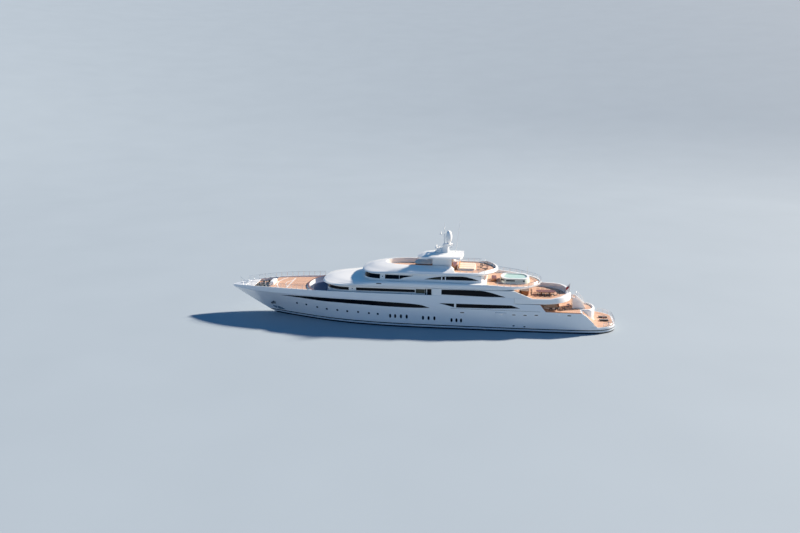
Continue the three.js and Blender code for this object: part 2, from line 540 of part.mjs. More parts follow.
// Mast
const MAST_FOOT_Z = 15.45;
const MAST_ROWS = [
  [MAST_FOOT_Z, -6.6, -4.7, 0.8, 0.8, 0.5, 0.5, 2],
  [16.5, -6.5, -5.0, 0.6, 0.6, 0.4, 0.4, 2],
  [16.95, -7.2, -5.1, 0.65, 0.65, 0.5, 0.5, 2],
  [17.25, -7.4, -5.2, 0.75, 0.75, 0.6, 0.6, 2],
];
const MAST_SPUR = [
  [MAST_FOOT_Z - 0.25, -6.5, -3.2, 0.6, 0.6, 0.5, 0.5, 2],
  [16.2, -6.4, -4.3, 0.45, 0.45, 0.4, 0.4, 2],
];
const mast = joined([
  tiers(MAST_ROWS),
  tiers(MAST_SPUR),
  box(-6.6, -4.7, -0.7, 0.7, MAST_FOOT_Z - 0.5, MAST_FOOT_Z + 0.1),
  post(-5.5, 0, 16, 21.7, 0.09, 8),
  box(-5.6, -5.4, -1.0, 1.0, 20.45, 20.6),
  box(-5.6, -3.5, -0.35, 0.35, 16.15, 16.3),
  box(-5.6, -4.5, -0.2, 0.2, 19.2, 19.32),
]).subtract(loft(roofRise.map(([x, rise]) => roofSection(x, rise + SEAT))))
  .subtract(box(-9, 0, -3, 3, 12, 15.3));
add("mast", mast, WHITE);
const dome = solidOf(new THREE.SphereGeometry(1, 16, 10).rotateX(Math.PI / 2));
const radome = joined([
  dome.scale([0.75, 0.75, 1.43]).translate([-6.45, 0, 18.75]),
  post(-6.45, 0, 17.25 + SEAT, 18, 0.42, 12),
]);
add("radome", radome, WHITE);
const scanner = (x, z, length) => box(x - 0.12, x + 0.12, -length / 2, length / 2, z + 0.2, z + 0.42)
  .add(post(x, 0, z + SEAT, z + 0.3, 0.14, 10));
add("radar_scanner_low", scanner(-3.8, 16.3, 2.2), WHITE);
add("radar_scanner_high", scanner(-4.7, 19.32, 1.2), WHITE);
add("whip_antenna", bar([[-8.05, 0, 15.41], [-8.85, 0, 22.2]], 0.05, 1, 6), WHITE);

// Aft terrace of the upper deck
const TERRACE = [
  [TERRACE_BASE_Z + SEAT, -32.3, HOUSE_AFT - SEAT, 6.5, 6.5, 0.05, 6.6, 2.3],
  [6.45, -33.1, HOUSE_AFT - SEAT, 6.82, 6.82, 0.05, 7.0, 2.3],
  [7.45, -33.0, HOUSE_AFT - SEAT, 6.8, 6.8, 0.05, 7.0, 2.3],
  [7.75, -32.8, HOUSE_AFT - SEAT, 6.7, 6.7, 0.05, 6.9, 2.3],
];
const TERRACE_WELL = [
  [UPPER_DECK_Z, -32.2, HOUSE_AFT, 6.55, 6.55, 0.05, 6.6, 2.3],
  [9, -32.2, HOUSE_AFT, 6.55, 6.55, 0.05, 6.6, 2.3],
];
const terraceCapLine = [[0, 7.45], [-28.5, 7.45], [-31, 7.75], [-FAR, 7.75], [-FAR, 9], [0, 9]];
const terraceCap = sidePanel(terraceCapLine, -FAR, FAR);
const terraceHollow = tiers(TERRACE_WELL);
const stairGap = box(-FAR, -31.5, -1.5, 1.5, UPPER_DECK_Z, 9);
add("upper_terrace", tiers(TERRACE).subtract(terraceHollow).subtract(stairGap).subtract(terraceCap), WHITE);
add("upper_terrace_planking", tiers(TERRACE_WELL, 0.15).intersect(layer(UPPER_DECK_Z)), TEAK_WOOD);

// Stern: platform planking and the stairs
const platform = deckWell(-42, -38.4, PLATFORM_Z + SEAT, 0.62, 10)
  .intersect(box(-FAR, FAR, -FAR, FAR, PLATFORM_Z, PLATFORM_Z + SEAT + TEAK));
add("platform_planking", platform, TEAK_WOOD);
const STEPS = 9;
const flight = [];
for (let i = 0; i < STEPS; i++) {
  const top = PLATFORM_Z + ((MAIN_DECK_Z - PLATFORM_Z) * (STEPS - i)) / STEPS;
  flight.push([-35.3 - SEAT - 0.33 * i, top], [-35.3 - SEAT - 0.33 * (i + 1), top]);
}
const stairFoot = [-35.3 - SEAT, -35.3 - SEAT - 0.33 * STEPS].map((x) => [x, PLATFORM_Z + SEAT]);
const stairSide = [stairFoot[0], ...flight, stairFoot[1]];
const LANDING_Z = 4.02;
const aboveDeck = MAIN_DECK_Z + 3 * SEAT + TEAK;
const foot = [[-35.31, 3.9], [-35.31, aboveDeck], [-33.35, aboveDeck]];
const upperFlight = [[-33.35, 6.3]];
for (let i = 1; i <= 10; i++) {
  const top = 6.3 + ((LANDING_Z - 6.3) * i) / 10;
  upperFlight.push([-33.5 - 0.24 * i, top - (LANDING_Z - 6.3) / 10], [-33.5 - 0.24 * i, top]);
}
const cheek = [...foot, [-33.35, 6.42], [-34.1, 6.42], [-36.0, 4.5], [-36.2, 3.9]];
const block = [
  [PLATFORM_Z + SEAT, -38.2, -35.3 - SEAT, 2.9, 2.9, 0.05, 1.6, 2],
  [4.08, -38.2, -35.3 - SEAT, 2.8, 2.8, 0.05, 1.6, 2],
  [4.3, -38.0, -35.3 - SEAT, 2.6, 2.6, 0.05, 1.6, 2],
];
const landing = tiers([LANDING_Z, 9].map((z) => [z, -38.2, -34, 2.9, 2.9, 0.05, 1.6, 2]), 0.45);
const stern = joined([
  sidePanel(stairSide, -6.0, 6.0).subtract(box(-FAR, 0, -1.4, 1.4, 3, 9)),
  tiers(block).subtract(landing),
  sidePanel([...foot, ...upperFlight, [-35.9, 3.9]], -1.2, 1.2),
  sidePanel(cheek, 1.15, 1.35),
  sidePanel(cheek, -1.35, -1.15),
]);
add("stern_stairs", stern, WHITE);

// Sliding doors of the upper saloon, two leaves that part to the sides
const leafFace = HOUSE_AFT - SLIDER.off;
const leaf = box(leafFace - SLIDER.thick, leafFace, 0.03, SLIDER.width, SLIDER.low, SLIDER.high);
addPair("saloon_door", leaf, DARK_GLASS);

// Shafts, propellers, rudders and stabiliser fins
const shaftRod = cylinder(SHAFT.radius, SHAFT.radius, SHAFT.fore - SHAFT.prop + 0.6, 12).rotate([0, 90, 0])
  .translate([(SHAFT.fore + SHAFT.prop - 0.8) / 2, SHAFT.y, SHAFT.z]);
const blade = loft([0.2, 0.55, 0.9, 1.05].map((r, i) => {
  const chord = [0.28, 0.52, 0.42, 0.1][i];
  const pitch = [0.9, 0.65, 0.5, 0.45][i];
  const thick = [0.07, 0.05, 0.035, 0.02][i];
  const [s, c] = [Math.sin(pitch), Math.cos(pitch)];
  return [[-chord, 0], [0, thick], [chord, 0], [0, -thick]].map(([u, w]) => [u * s + w * c, -u * c + w * s, r]);
}));
const propeller = joined([
  shaftRod,
  cylinder(0.3, 0.22, 0.8, 12).rotate([0, 90, 0]).translate([SHAFT.prop - 0.35, SHAFT.y, SHAFT.z]),
  ...[0, 1, 2, 3, 4].map((k) => blade.rotate([k * 72, 0, 0]).translate([SHAFT.prop - 0.3, SHAFT.y, SHAFT.z])),
]);
addPair("propeller", propeller, BRONZE);

const rudderFoil = (z, lead, trail, thick) => [
  [lead, 0, z], [lead - 0.25, thick, z], [lead - 0.8, thick * 0.8, z],
  [trail, 0, z], [lead - 0.8, -thick * 0.8, z], [lead - 0.25, -thick, z],
];
const rudder = joined([
  loft([
    rudderFoil(RUDDER.bottom, 0.45, -1.0, 0.12),
    rudderFoil(RUDDER.top, 0.6, -1.35, 0.17),
  ]).translate([RUDDER.x, RUDDER.y, 0]),
  post(RUDDER.x, RUDDER.y, RUDDER.top - 0.5, RUDDER.stockTop - 0.05, RUDDER.stock, 12),
]);
addPair("rudder", rudder, WHITE);

const finPlan = [[FIN.gap, 0.8, 0.14], [1.7, 0.5, 0.07]];
const fin = joined([
  loft(finPlan.map(([out, half, thick]) => [
    [half, 0, -out], [half * 0.4, thick, -out], [-half, 0, -out], [half * 0.4, -thick, -out],
  ])),
  post(0, 0, -FIN.gap - 0.2, FIN.inside, FIN.stock, 12),
]).rotate([FIN.down, 0, 0]).translate([FIN.x, FIN.y, FIN.z]);
addPair("stabiliser_fin", fin, WHITE);

// Anchors in their pockets
const pocketFloor = -0.5 + SEAT;
const anchor = joined([
  box(-0.6, 0.6, pocketFloor, -0.3, -0.09, 0.09),
  box(-0.66, -0.3, pocketFloor, -0.12, -0.36, 0.36),
]).rotate([0, 30, -28]).translate([ANCHOR.x, ANCHOR.y + 0.15, ANCHOR.z]);
addPair("anchor", anchor, DARK);

// Mooring gear on the forepeak: two windlasses and two pairs of bollards on one base
const gearZ = 6.4 + SEAT;
add("mooring_gear", joined([
  box(34.3, 37.2, -1.3, 1.3, gearZ, gearZ + 0.08),
  ...[1, -1].flatMap((side) => [
    post(35.6, side * 0.75, gearZ, gearZ + 0.75, 0.3, 12),
    post(36.6, side * 0.6, gearZ, gearZ + 0.4, 0.14, 10),
    post(34.6, side * 1.05, gearZ, gearZ + 0.4, 0.13, 10),
    post(35.0, side * 1.05, gearZ, gearZ + 0.4, 0.13, 10),
  ]),
]), STEEL);

// Jackstaff with its stay
const bowCap = [39.2, 40, 40.9].map((x) => [x, capZ(x) + SEAT]);
const bowPlate = [...bowCap, ...bowCap.slice().reverse().map(([x, z]) => [x, z + 0.07])];
add("jackstaff", joined([
  sidePanel(bowPlate, -0.12, 0.12),
  bar([[40.6, 0, capZ(40.6) + 0.05], [40.8, 0, 8.2]], 0.035, 1),
  bar([[39.3, 0, capZ(39.3) + 0.05], [40.78, 0, 8.05]], 0.025, 1),
]), STEEL);

// Ensign staff and ensign
const STAFF = { x: -32.45, y: 1.75, z: 7.75 + SEAT, topX: -32.55, topZ: 9.75, radius: 0.04 };
add("ensign_staff", joined([
  post(STAFF.x, STAFF.y, STAFF.z, STAFF.z + 0.06, 0.1, 10),
  bar([[STAFF.x, STAFF.y, STAFF.z + 0.03], [STAFF.topX, STAFF.y, STAFF.topZ]], STAFF.radius, 1),
]), STEEL);
const cloth = [[-32.504, 9.6], [-32.458, 8.7], [-31.95, 8.05], [-31.7, 8.95]];
add("ensign", sidePanel(cloth, STAFF.y - 0.015, STAFF.y + 0.015), RED_CLOTH);

// Guard rails: posts every few feet with a top rail and a middle wire
function guardRail(path, height, spacing, thick) {
  const curve = new THREE.CatmullRomCurve3(path.map((p) => new THREE.Vector3(...p)), false, "centripetal");
  const count = Math.max(1, Math.round(curve.getLength() / spacing));
  const spots = curve.getSpacedPoints(count);
  const lines = [height, height * 0.5].map((rise, i) => {
    const raised = path.map(([x, y, z]) => [x, y, z + rise]);
    return bar(raised, thick * (i ? 0.6 : 1), count, 5);
  });
  return joined([...lines, ...spots.map((p) => post(p.x, p.y, p.z, p.z + height, thick, 5))]);
}

const capLine = [];
for (let x = 22.4; x < 39.8; x += 1.72) capLine.push([x, capY(x) - 0.11, capZ(x) + 0.012]);
addPair("foredeck_rail", guardRail(capLine, 0.95, 1.5, 0.035), STEEL);

// The after part of a plan outline, from the port side round the stern
function aroundStern(row, inset, foreX, z) {
  const [, aft, fore, beam, beamAft, nose, tail, square] = row;
  const half = planHalf({ aft, fore, beam, beamAft, nose, tail, square }, inset).filter((p) => p[0] < foreX);
  const port = [[foreX, beam - inset], ...half.slice(0, -1)];
  const all = [...port, half.at(-1), ...port.slice().reverse().map(([x, y]) => [x, -y])];
  return all.map(([x, y]) => [x, y, z(x)]);
}

function terraceEdge(x) {
  const i = TERRACE_EDGE.findIndex((row) => row[0] <= x);
  const [[x0, z0], [x1, z1]] = [TERRACE_EDGE[i - 1], TERRACE_EDGE[i]];
  return z0 + ((z1 - z0) * (x - x0)) / (x1 - x0) + 0.012;
}
const terracePath = aroundStern(BRIDGE_SLAB[3], 0.2, -17.2, (x) => terraceEdge(x));
add("terrace_rail", guardRail(terracePath, 0.75, 1.6, 0.035), STEEL);
// The stern rail stands on the hull's rim round the platform
function platformEdge(x) {
  const rise = (PLATFORM_Z / station(6, x)) ** station(4, x);
  return station(2, x) + (station(5, x) - station(2, x)) * rise;
}
const railFoot = PLATFORM_Z + SEAT;
const sternPort = [-39.6, -40.3, -41, -41.6, -42, -42.25].map((x) => [x, platformEdge(x) - 0.17, railFoot]);
const sternStbd = sternPort.slice().reverse().map(([x, y, z]) => [x, -y, z]);
const sternPath = [...sternPort, [-42.3, 0, railFoot], ...sternStbd];
add("stern_rail", guardRail(sternPath, 0.9, 1.5, 0.035), STEEL);

// Pool on the bridge terrace
const POOL = [
  [BRIDGE_DECK_Z + 3 * SEAT + TEAK, -24.2, -17.7, 2.7, 2.7, 1.6, 1.6, 2],
  [10.45, -24.0, -17.9, 2.5, 2.5, 1.5, 1.5, 2],
];
const poolWell = [[9.75, -24, -17.9, 2.5, 2.5, 1.5, 1.5, 2], [12, -24, -17.9, 2.5, 2.5, 1.5, 1.5, 2]];
add("pool", tiers(POOL).subtract(tiers(poolWell, 0.5)), WHITE);
add("pool_water", tiers(poolWell, 0.504).intersect(box(-FAR, FAR, -FAR, FAR, 9.754, 10.3)), WATER);

// Furniture
const sunFloor = SUN_DECK_Z + 3 * SEAT + TEAK;
const upperFloor = UPPER_DECK_Z + 3 * SEAT + TEAK;
add("sun_deck_bar", tiers([
  [sunFloor, -3.0, 0.8, 1.9, 1.9, 1.2, 0.3, 2], [sunFloor + 1.05, -3.0, 0.9, 2.0, 2.0, 1.3, 0.3, 2],
]), TEAK_WOOD);
const counter = [[0, 1.5], [1.05, 1.6], [1.15, 1.6]].map(([rise, beam]) =>
  [upperFloor + rise, -24.1, -22.0, beam, beam, 0.5, 0.5, 2.6]);
add("upper_bar", tiers(counter), TEAK_WOOD);
add("sun_deck_sofa", joined([
  box(-12.4, -8.6, -2.6, 2.6, sunFloor, sunFloor + 0.42),
  box(-8.9, -8.6, -2.6, 2.6, sunFloor, sunFloor + 0.85),
]), CUSHION);
const tableTop = [0.68, 0.76].map((rise) => [upperFloor + rise, -29.8, -25.6, 0.95, 0.95, 0.9, 0.9, 2]);
add("upper_table", joined([
  tiers(tableTop),
  post(-26.8, 0, upperFloor, upperFloor + 0.7, 0.2, 10),
  post(-28.6, 0, upperFloor, upperFloor + 0.7, 0.2, 10),
]), TEAK_WOOD);
add("main_deck_sofa", joined([
  box(-30.6, -27.2, -2.4, 2.4, aboveDeck, aboveDeck + 0.42),
  box(-30.6, -30.3, -2.4, 2.4, aboveDeck, aboveDeck + 0.85),
]), CUSHION);

export default ship;
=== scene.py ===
import bpy
import bmesh
from math import atan2, copysign, cos, exp, hypot, pi, radians, sin, sqrt
from mathutils import Matrix, Vector


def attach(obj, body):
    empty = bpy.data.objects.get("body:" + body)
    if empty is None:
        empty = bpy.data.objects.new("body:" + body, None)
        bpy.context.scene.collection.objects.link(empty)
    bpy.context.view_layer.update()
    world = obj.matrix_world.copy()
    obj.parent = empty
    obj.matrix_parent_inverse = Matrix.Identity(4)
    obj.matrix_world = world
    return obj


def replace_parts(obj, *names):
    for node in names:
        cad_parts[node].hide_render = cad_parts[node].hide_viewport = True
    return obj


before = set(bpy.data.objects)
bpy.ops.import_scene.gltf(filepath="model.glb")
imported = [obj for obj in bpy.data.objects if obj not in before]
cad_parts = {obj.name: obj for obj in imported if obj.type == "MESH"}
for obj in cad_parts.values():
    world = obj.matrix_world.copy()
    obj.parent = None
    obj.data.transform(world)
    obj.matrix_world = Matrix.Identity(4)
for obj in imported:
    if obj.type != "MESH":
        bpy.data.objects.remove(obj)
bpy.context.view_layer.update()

# Hull plating
# Welded steel plate, faired and filled, then sprayed with white polyurethane topcoat above the boot
# stripes and rolled with dark red antifouling below them. The lines run smoothly through the stations.
SHIP = 0.1  # metres of the model for one metre of the ship; every size below is in metres of the ship


def linear(code):
    """Linear colour of an sRGB hex code."""
    parts = [int(code[i:i + 2], 16) / 255 for i in (1, 3, 5)]
    return (*[c / 12.92 if c <= 0.04045 else ((c + 0.055) / 1.055) ** 2.4 for c in parts], 1)


def add(tree, kind, sockets=(), **settings):
    """Adds a shader node with its settings; a socket is given a value or another node's output."""
    made = tree.nodes.new("ShaderNode" + kind)
    for key, value in settings.items():
        setattr(made, key, value)
    for socket, value in dict(sockets).items():
        if isinstance(value, bpy.types.NodeSocket):
            tree.links.new(value, made.inputs[socket])
        else:
            made.inputs[socket].default_value = value
    return made


def finish_of(name, slot, colour, roughness, **sockets):
    """A new material with its shader's constants set. Returns it with its tree, its shader and the place
    on the object, which its patterns follow."""
    material = bpy.data.materials.new(name)
    material.use_nodes = True
    tree = material.node_tree
    shader = tree.nodes["Principled BSDF"]
    shader.inputs["Base Color"].default_value = linear(colour)
    shader.inputs["Roughness"].default_value = roughness
    for socket, value in sockets.items():
        shader.inputs[socket.replace("_", " ")].default_value = value
    return material, tree, shader, add(tree, "TexCoord").outputs["Object"]


def lay(tree, shader, share, pale, deep, height, strength, distance, **settings):
    """Carries a surface from its pale tone to its deep one by a pattern, and puts a pattern in relief."""
    mixed = add(tree, "Mix", {"Factor": share, "A": linear(pale), "B": linear(deep)}, data_type="RGBA")
    tree.links.new(mixed.outputs["Result"], shader.inputs["Base Color"])
    bump = add(tree, "Bump", {"Height": height, "Strength": strength, "Distance": distance}, **settings)
    tree.links.new(bump.outputs["Normal"], shader.inputs["Normal"])
    return mixed.outputs["Result"]


STRIPE_REACH = 0.2  # the stripes all lie within this height of the waterline, in metres of the model


def topcoat(name, pale, deep, below=()):
    """White two-pack polyurethane, sprayed and polished: a deep gloss, with the long soft ripple of
    faired plating under it and a slight change of tone where it has weathered."""
    material, tree, shader, place = finish_of(name, "white_paint", pale, 0.2, IOR=1.5, Coat_Weight=0.6,
                                              Coat_Roughness=0.06)
    tone = add(tree, "TexNoise", {"Vector": place, "Scale": 1.6, "Detail": 5, "Roughness": 0.6})
    ripple = add(tree, "TexNoise", {"Vector": place, "Scale": 2.2, "Detail": 1})
    colour = lay(tree, shader, tone.outputs["Fac"], pale, deep, ripple.outputs["Fac"], 0.2, 0.004)
    if below:
        split = add(tree, "SeparateXYZ", {"Vector": place})
        height = add(tree, "MapRange", {"Value": split.outputs["Z"], "From Min": -STRIPE_REACH,
                                        "From Max": STRIPE_REACH})
        ramp = add(tree, "ValToRGB", {"Fac": height.outputs["Result"]})
        ramp.color_ramp.interpolation = "CONSTANT"
        levels = ramp.color_ramp.elements
        levels[0].color = linear(below[0][1])
        levels.remove(levels[1])
        for start, code in below[1:]:
            levels.new((start * SHIP + STRIPE_REACH) / (2 * STRIPE_REACH)).color = linear(code)
        striped = add(tree, "Mix", {"Factor": 1.0, "A": colour, "B": ramp.outputs["Color"]},
                      data_type="RGBA", blend_type="MULTIPLY")
        tree.links.new(striped.outputs["Result"], shader.inputs["Base Color"])
    wear = add(tree, "TexNoise", {"Vector": place, "Scale": 9.0, "Detail": 3})
    rough = add(tree, "MapRange", {"Value": wear.outputs["Fac"], "To Min": 0.16, "To Max": 0.3})
    tree.links.new(rough.outputs["Result"], shader.inputs["Roughness"])
    return material


# The stripes, from the antifouling up: start height and colour. Above the last one the white shows.
BOOT = [(-9, "#4a1a1c"), (0.04, "#0b1424"), (0.32, "#dfe6ec"), (0.66, "#141d2b"), (0.88, "#ffffff")]
HULL_PAINT = topcoat("hull_topcoat_with_boot_stripes", "#f0f2f4", "#e2e7ec", BOOT)
WHITE_PAINT = topcoat("white_polyurethane_topcoat", "#f6f5f3", "#eceded")
# Dark grey topcoat used only as painted shade: the shadow line under the saloon windows and the inside of the
# anchor pockets
SHADE_GREY = topcoat("grey_topcoat_painted_shade", "#59616b", "#4b535d")


def together(*solids):
    """Several closed forms as one."""
    corners, faces = [], []
    for some, sides in solids:
        start = len(corners)
        corners += some
        faces += [[start + k for k in side] for side in sides]
    return corners, faces


def loft(rings):
    """A closed form through rings of points, each with the same number of points."""
    count = len(rings[0])
    corners = [point for ring in rings for point in ring]
    last = (len(rings) - 1) * count
    faces = [[r + i, r + (i + 1) % count, r + count + (i + 1) % count, r + count + i]
             for r in range(0, last, count) for i in range(count)]
    return corners, faces + [list(range(count))[::-1], list(range(last, last + count))]


def prism(outline, y0, y1):
    """A polygon of x, z points, across the ship from y0 to y1."""
    return loft([[(x, y, z) for x, z in outline] for y in (y0, y1)])


def slab(outline, z0, z1):
    """A polygon of x, y points, from height z0 to z1."""
    return loft([[(x, y, z) for x, y in outline] for z in (z0, z1)])


def block(x0, x1, y0, y1, z0, z1):
    return slab([(x0, y0), (x1, y0), (x1, y1), (x0, y1)], z0, z1)


def mirrored(solid):
    """The same form on the other side of the ship."""
    return [(x, -y, z) for x, y, z in solid[0]], [side[::-1] for side in solid[1]]


def both(*solids):
    return together(*solids, *[mirrored(solid) for solid in solids])


def shade(made, angle=32):
    made.data.shade_smooth()
    made.data.set_sharp_from_angle(angle=radians(angle))


def piece(name, solid, material, body="ship", node=None):
    """Makes a piece of the ship from a closed form: it rides on its body and may stand for a CAD node."""
    mesh = bpy.data.meshes.new(name)
    mesh.from_pydata([Vector(corner) * SHIP for corner in solid[0]], [], solid[1])
    work = bmesh.new()
    work.from_mesh(mesh)
    bmesh.ops.remove_doubles(work, verts=work.verts, dist=1e-5)
    bmesh.ops.dissolve_degenerate(work, edges=work.edges, dist=1e-6)
    bmesh.ops.recalc_face_normals(work, faces=work.faces)
    work.to_mesh(mesh)
    work.free()
    mesh.materials.append(material)
    made = bpy.data.objects.new(name, mesh)
    bpy.context.scene.collection.objects.link(made)
    shade(made)
    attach(made, body)
    if node:
        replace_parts(made, node)
    return made


def apply_modifiers(made, angle=32):
    bpy.context.view_layer.update()
    shown = made.evaluated_get(bpy.context.evaluated_depsgraph_get())
    made.data = bpy.data.meshes.new_from_object(shown)
    made.modifiers.clear()
    shade(made, angle)


def cut(made, *tools, operation="DIFFERENCE"):
    """Cuts closed forms or other pieces out of a piece, or keeps only what lies in them."""
    for tool in tools:
        if isinstance(tool, tuple):
            tool = piece(made.name + "_tool", tool, WHITE_PAINT)
        modifier = made.modifiers.new("cut", "BOOLEAN")
        modifier.operation = operation
        modifier.object = tool
        modifier.solver = "EXACT"
        apply_modifiers(made)
        bpy.data.objects.remove(tool)
    return made


def curve_through(points):
    """A smooth curve through points, in order of their first value, that never overshoots."""
    xs, ys = zip(*sorted(points))
    rises = [(ys[i + 1] - ys[i]) / (xs[i + 1] - xs[i]) for i in range(len(xs) - 1)]
    middle = [0 if a * b <= 0 else 2 * a * b / (a + b) for a, b in zip(rises, rises[1:])]
    slopes = [rises[0], *middle, rises[-1]]

    def value(x):
        x = min(max(x, xs[0]), xs[-1])
        i = max(k for k in range(len(rises)) if xs[k] <= x)
        width = xs[i + 1] - xs[i]
        t = (x - xs[i]) / width
        return ((2 * t ** 3 - 3 * t ** 2 + 1) * ys[i] + (t ** 3 - 2 * t ** 2 + t) * width * slopes[i]
                + (3 * t ** 2 - 2 * t ** 3) * ys[i + 1] + (t ** 3 - t ** 2) * width * slopes[i + 1])

    return value


# x, keel, wl, full, flare, kn, kn_z, cap, cap_z: lowest point; half breadth at the waterline; fullness
# below it; flare above it; half breadth and height of the knuckle, then of the rail cap
STATIONS = [
    (42.5, 5.9, 0.0, 1.0, 1.0, 0.32, 6.1, 0.3, 6.4),
    (41.6, 5.3, 0.0, 1.0, 1.0, 0.95, 6.0, 0.95, 6.55),
    (40, 4.35, 0.0, 1.0, 1.0, 1.75, 6.0, 1.8, 6.75),
    (38, 3.15, 0.0, 1.0, 1.1, 2.6, 6.0, 2.7, 6.95),
    (36, 1.95, 0.0, 1.0, 1.15, 3.35, 6.05, 3.5, 7.08),
    (34, 0.8, 0.0, 1.0, 1.2, 4.0, 6.1, 4.15, 7.2),
    (32.4, -0.1, 0.04, 1.2, 1.3, 4.45, 6.12, 4.6, 7.28),
    (31, -3.3, 0.55, 1.4, 1.35, 4.8, 6.15, 4.9, 7.33),
    (28, -3.9, 1.65, 1.5, 1.35, 5.4, 6.18, 5.5, 7.4),
    (24, -3.9, 3.0, 1.8, 1.3, 6.0, 6.2, 6.05, 7.45),
    (19, -3.9, 4.5, 2.1, 1.2, 6.55, 6.2, 6.55, 7.48),
    (12, -3.9, 5.8, 2.6, 1.1, 6.9, 6.2, 6.88, 7.5),
    (4, -3.9, 6.5, 3.2, 1.0, 7.0, 6.15, 6.95, 7.5),
    (-1, -3.9, 6.6, 3.4, 1.0, 7.0, 5.7, 6.95, 7.5),
    (-6, -3.9, 6.65, 3.4, 1.0, 7.0, 5.1, 6.92, 7.5),
    (-14, -3.9, 6.65, 3.2, 1.0, 7.0, 5.0, 6.9, 7.5),
    (-21, -3.4, 6.6, 2.8, 1.0, 7.0, 4.93, 6.9, 7.5),
    (-27, -2.6, 6.5, 2.6, 1.0, 6.95, 4.88, 6.85, 7.5),
    (-32, -1.9, 6.35, 2.5, 1.0, 6.85, 4.85, 6.78, 7.5),
    (-36, -1.35, 6.15, 2.4, 1.0, 6.65, 4.85, 6.6, 7.5),
    (-38.5, -1.05, 5.8, 2.4, 1.0, 6.25, 4.85, 6.2, 7.5),
    (-40.3, -0.85, 5.05, 2.4, 1.0, 5.45, 4.85, 5.4, 7.5),
    (-41.6, -0.7, 3.85, 2.4, 1.0, 4.2, 4.85, 4.15, 7.5),
    (-42.3, -0.6, 2.4, 2.4, 1.0, 2.65, 4.85, 2.6, 7.5),
    (-42.5, -0.5, 1.0, 2.4, 1.0, 1.1, 4.85, 1.1, 7.5),
]
station_curves = [curve_through([(row[0], row[k]) for row in STATIONS]) for k in range(1, 9)]


def hull_half(x, z):
    """Half breadth of the hull's plating at a place along the ship and a height."""
    keel, wl, full, flare, kn, kn_z, cap, cap_z = (curve(x) for curve in station_curves)
    water = max(0, keel)
    if z >= kn_z:
        return kn + (cap - kn) * min(1, (z - kn_z) / (cap_z - kn_z))
    if z >= water:
        return wl + (kn - wl) * ((z - water) / (kn_z - water)) ** flare
    return wl * max(0, 1 - (z / keel) ** full) ** (1 / full) if keel < 0 and z > keel else 0


def cap_half(x):
    return station_curves[6](x)


def cap_height(x):
    return station_curves[7](x)


def hull_ring(x):
    """Section of the hull: up the port side from the keel to the rail cap, and down the other side."""
    keel, wl, full, _, _, kn_z, _, cap_z = (curve(x) for curve in station_curves)
    heights = []
    if keel < 0:
        turns = [i / 12 * pi / 2 for i in range(12)]
        heights = [keel * cos(turn) ** (2 / full) for turn in turns]
    water = max(0, keel)
    heights += [water + (kn_z - water) * i / 14 for i in range(15)]
    heights += [kn_z + (cap_z - kn_z) * i / 3 for i in (1, 2, 3)]
    heights = [keel] * (30 - len(heights)) + heights
    port = [(x, hull_half(x, z), z) for z in heights]
    port[0] = (x, 0, keel)
    return port + [(x, -y, z) for _, y, z in port[:0:-1]]


def steps(start, end, count):
    return [start + (end - start) * i / count for i in range(count + 1)]


stations = sorted(set([-42.5, -42.4, -42.3, -42.1] + steps(-41.9, -34, 20) + steps(-34, 28, 70)
                      + steps(28, 42.5, 36)), reverse=True)
hull = piece("hull_plating", loft([hull_ring(x) for x in stations]), HULL_PAINT, node="hull")

# Wells and cuts of the hull: the side decks with their bulwark, the round lounge, the foredeck, the
# mooring deck and the main deck aft, then the line of the sides down to the platform.
BULWARK = 0.22
UPPER_DECK = 6.5
FOREDECK = 7.1
FOREPEAK = 6.4
MAIN_DECK = 3.95
PLATFORM = 1.35
HOUSE_AFT = -20.8
LOUNGE_X = 15.6
LOUNGE_RADIUS = 9.0
SEAT = 0.004  # clearance under a piece that rests on another
PLANKED = SEAT + 0.05  # top of the planks above their deck


def well_outline(x0, x1, waterway=0.0):
    port = [(x, max(0.15, cap_half(x) - BULWARK - waterway)) for x in steps(x1, x0, 24)]
    return port + [(x, -y) for x, y in port[::-1]]


def disc(x, y, radius, count=64):
    return [(x + radius * cos(2 * pi * i / count), y + radius * sin(2 * pi * i / count))
            for i in range(count)]


def lounge_outline():
    """The side decks' well, with a round fore end."""
    sides = [(x, cap_half(x) - BULWARK) for x in steps(-3.9, LOUNGE_X + LOUNGE_RADIUS, 60)]
    port = [(x, min(y, sqrt(max(0, LOUNGE_RADIUS ** 2 - max(0, x - LOUNGE_X) ** 2)))) for x, y in sides]
    port[-1] = (port[-1][0], 0)
    return port + [(x, -y) for x, y in port[-2::-1]]


def foredeck_outline(waterway=0.0):
    """The foredeck's well, with its after edge round the lounge."""
    radius = LOUNGE_RADIUS + 0.3 + waterway
    sides = [(x, cap_half(x) - BULWARK - waterway) for x in steps(33.2 - waterway, 20, 60)]
    port = [(x, y) for x, y in sides if hypot(x - LOUNGE_X, y) > radius]
    x_end, y_end = port[-1]
    turn = atan2(y_end, x_end - LOUNGE_X)
    arc = [(LOUNGE_X + radius * cos(t), radius * sin(t)) for t in steps(turn, -turn, 40)]
    return port + arc + [(x, -y) for x, y in port[::-1]]


FAR = 60  # well beyond the ship on every side


def through(outline):
    """A polygon of x, z points, all the way across the ship."""
    return prism(outline, -FAR, FAR)


STERN_LINE = [(-26.2, 6.2), (-27.4, 4.75), (-34.9, 4.6), (-35.8, 4.0), (-37.9, 1.95), (-38.5, PLATFORM),
              (-60, PLATFORM), (-60, 20), (HOUSE_AFT, 20), (HOUSE_AFT, 6.2)]
cut(
    hull,
    slab(lounge_outline(), UPPER_DECK, 20),
    slab(foredeck_outline(), FOREDECK, 20),
    slab(well_outline(33.1, 38.9), FOREPEAK, 20),
    through(STERN_LINE),
    slab(well_outline(-35.4, -24.6), MAIN_DECK, 20),
    block(-60, -35.3, -6.2, 6.2, PLATFORM, 20),
)

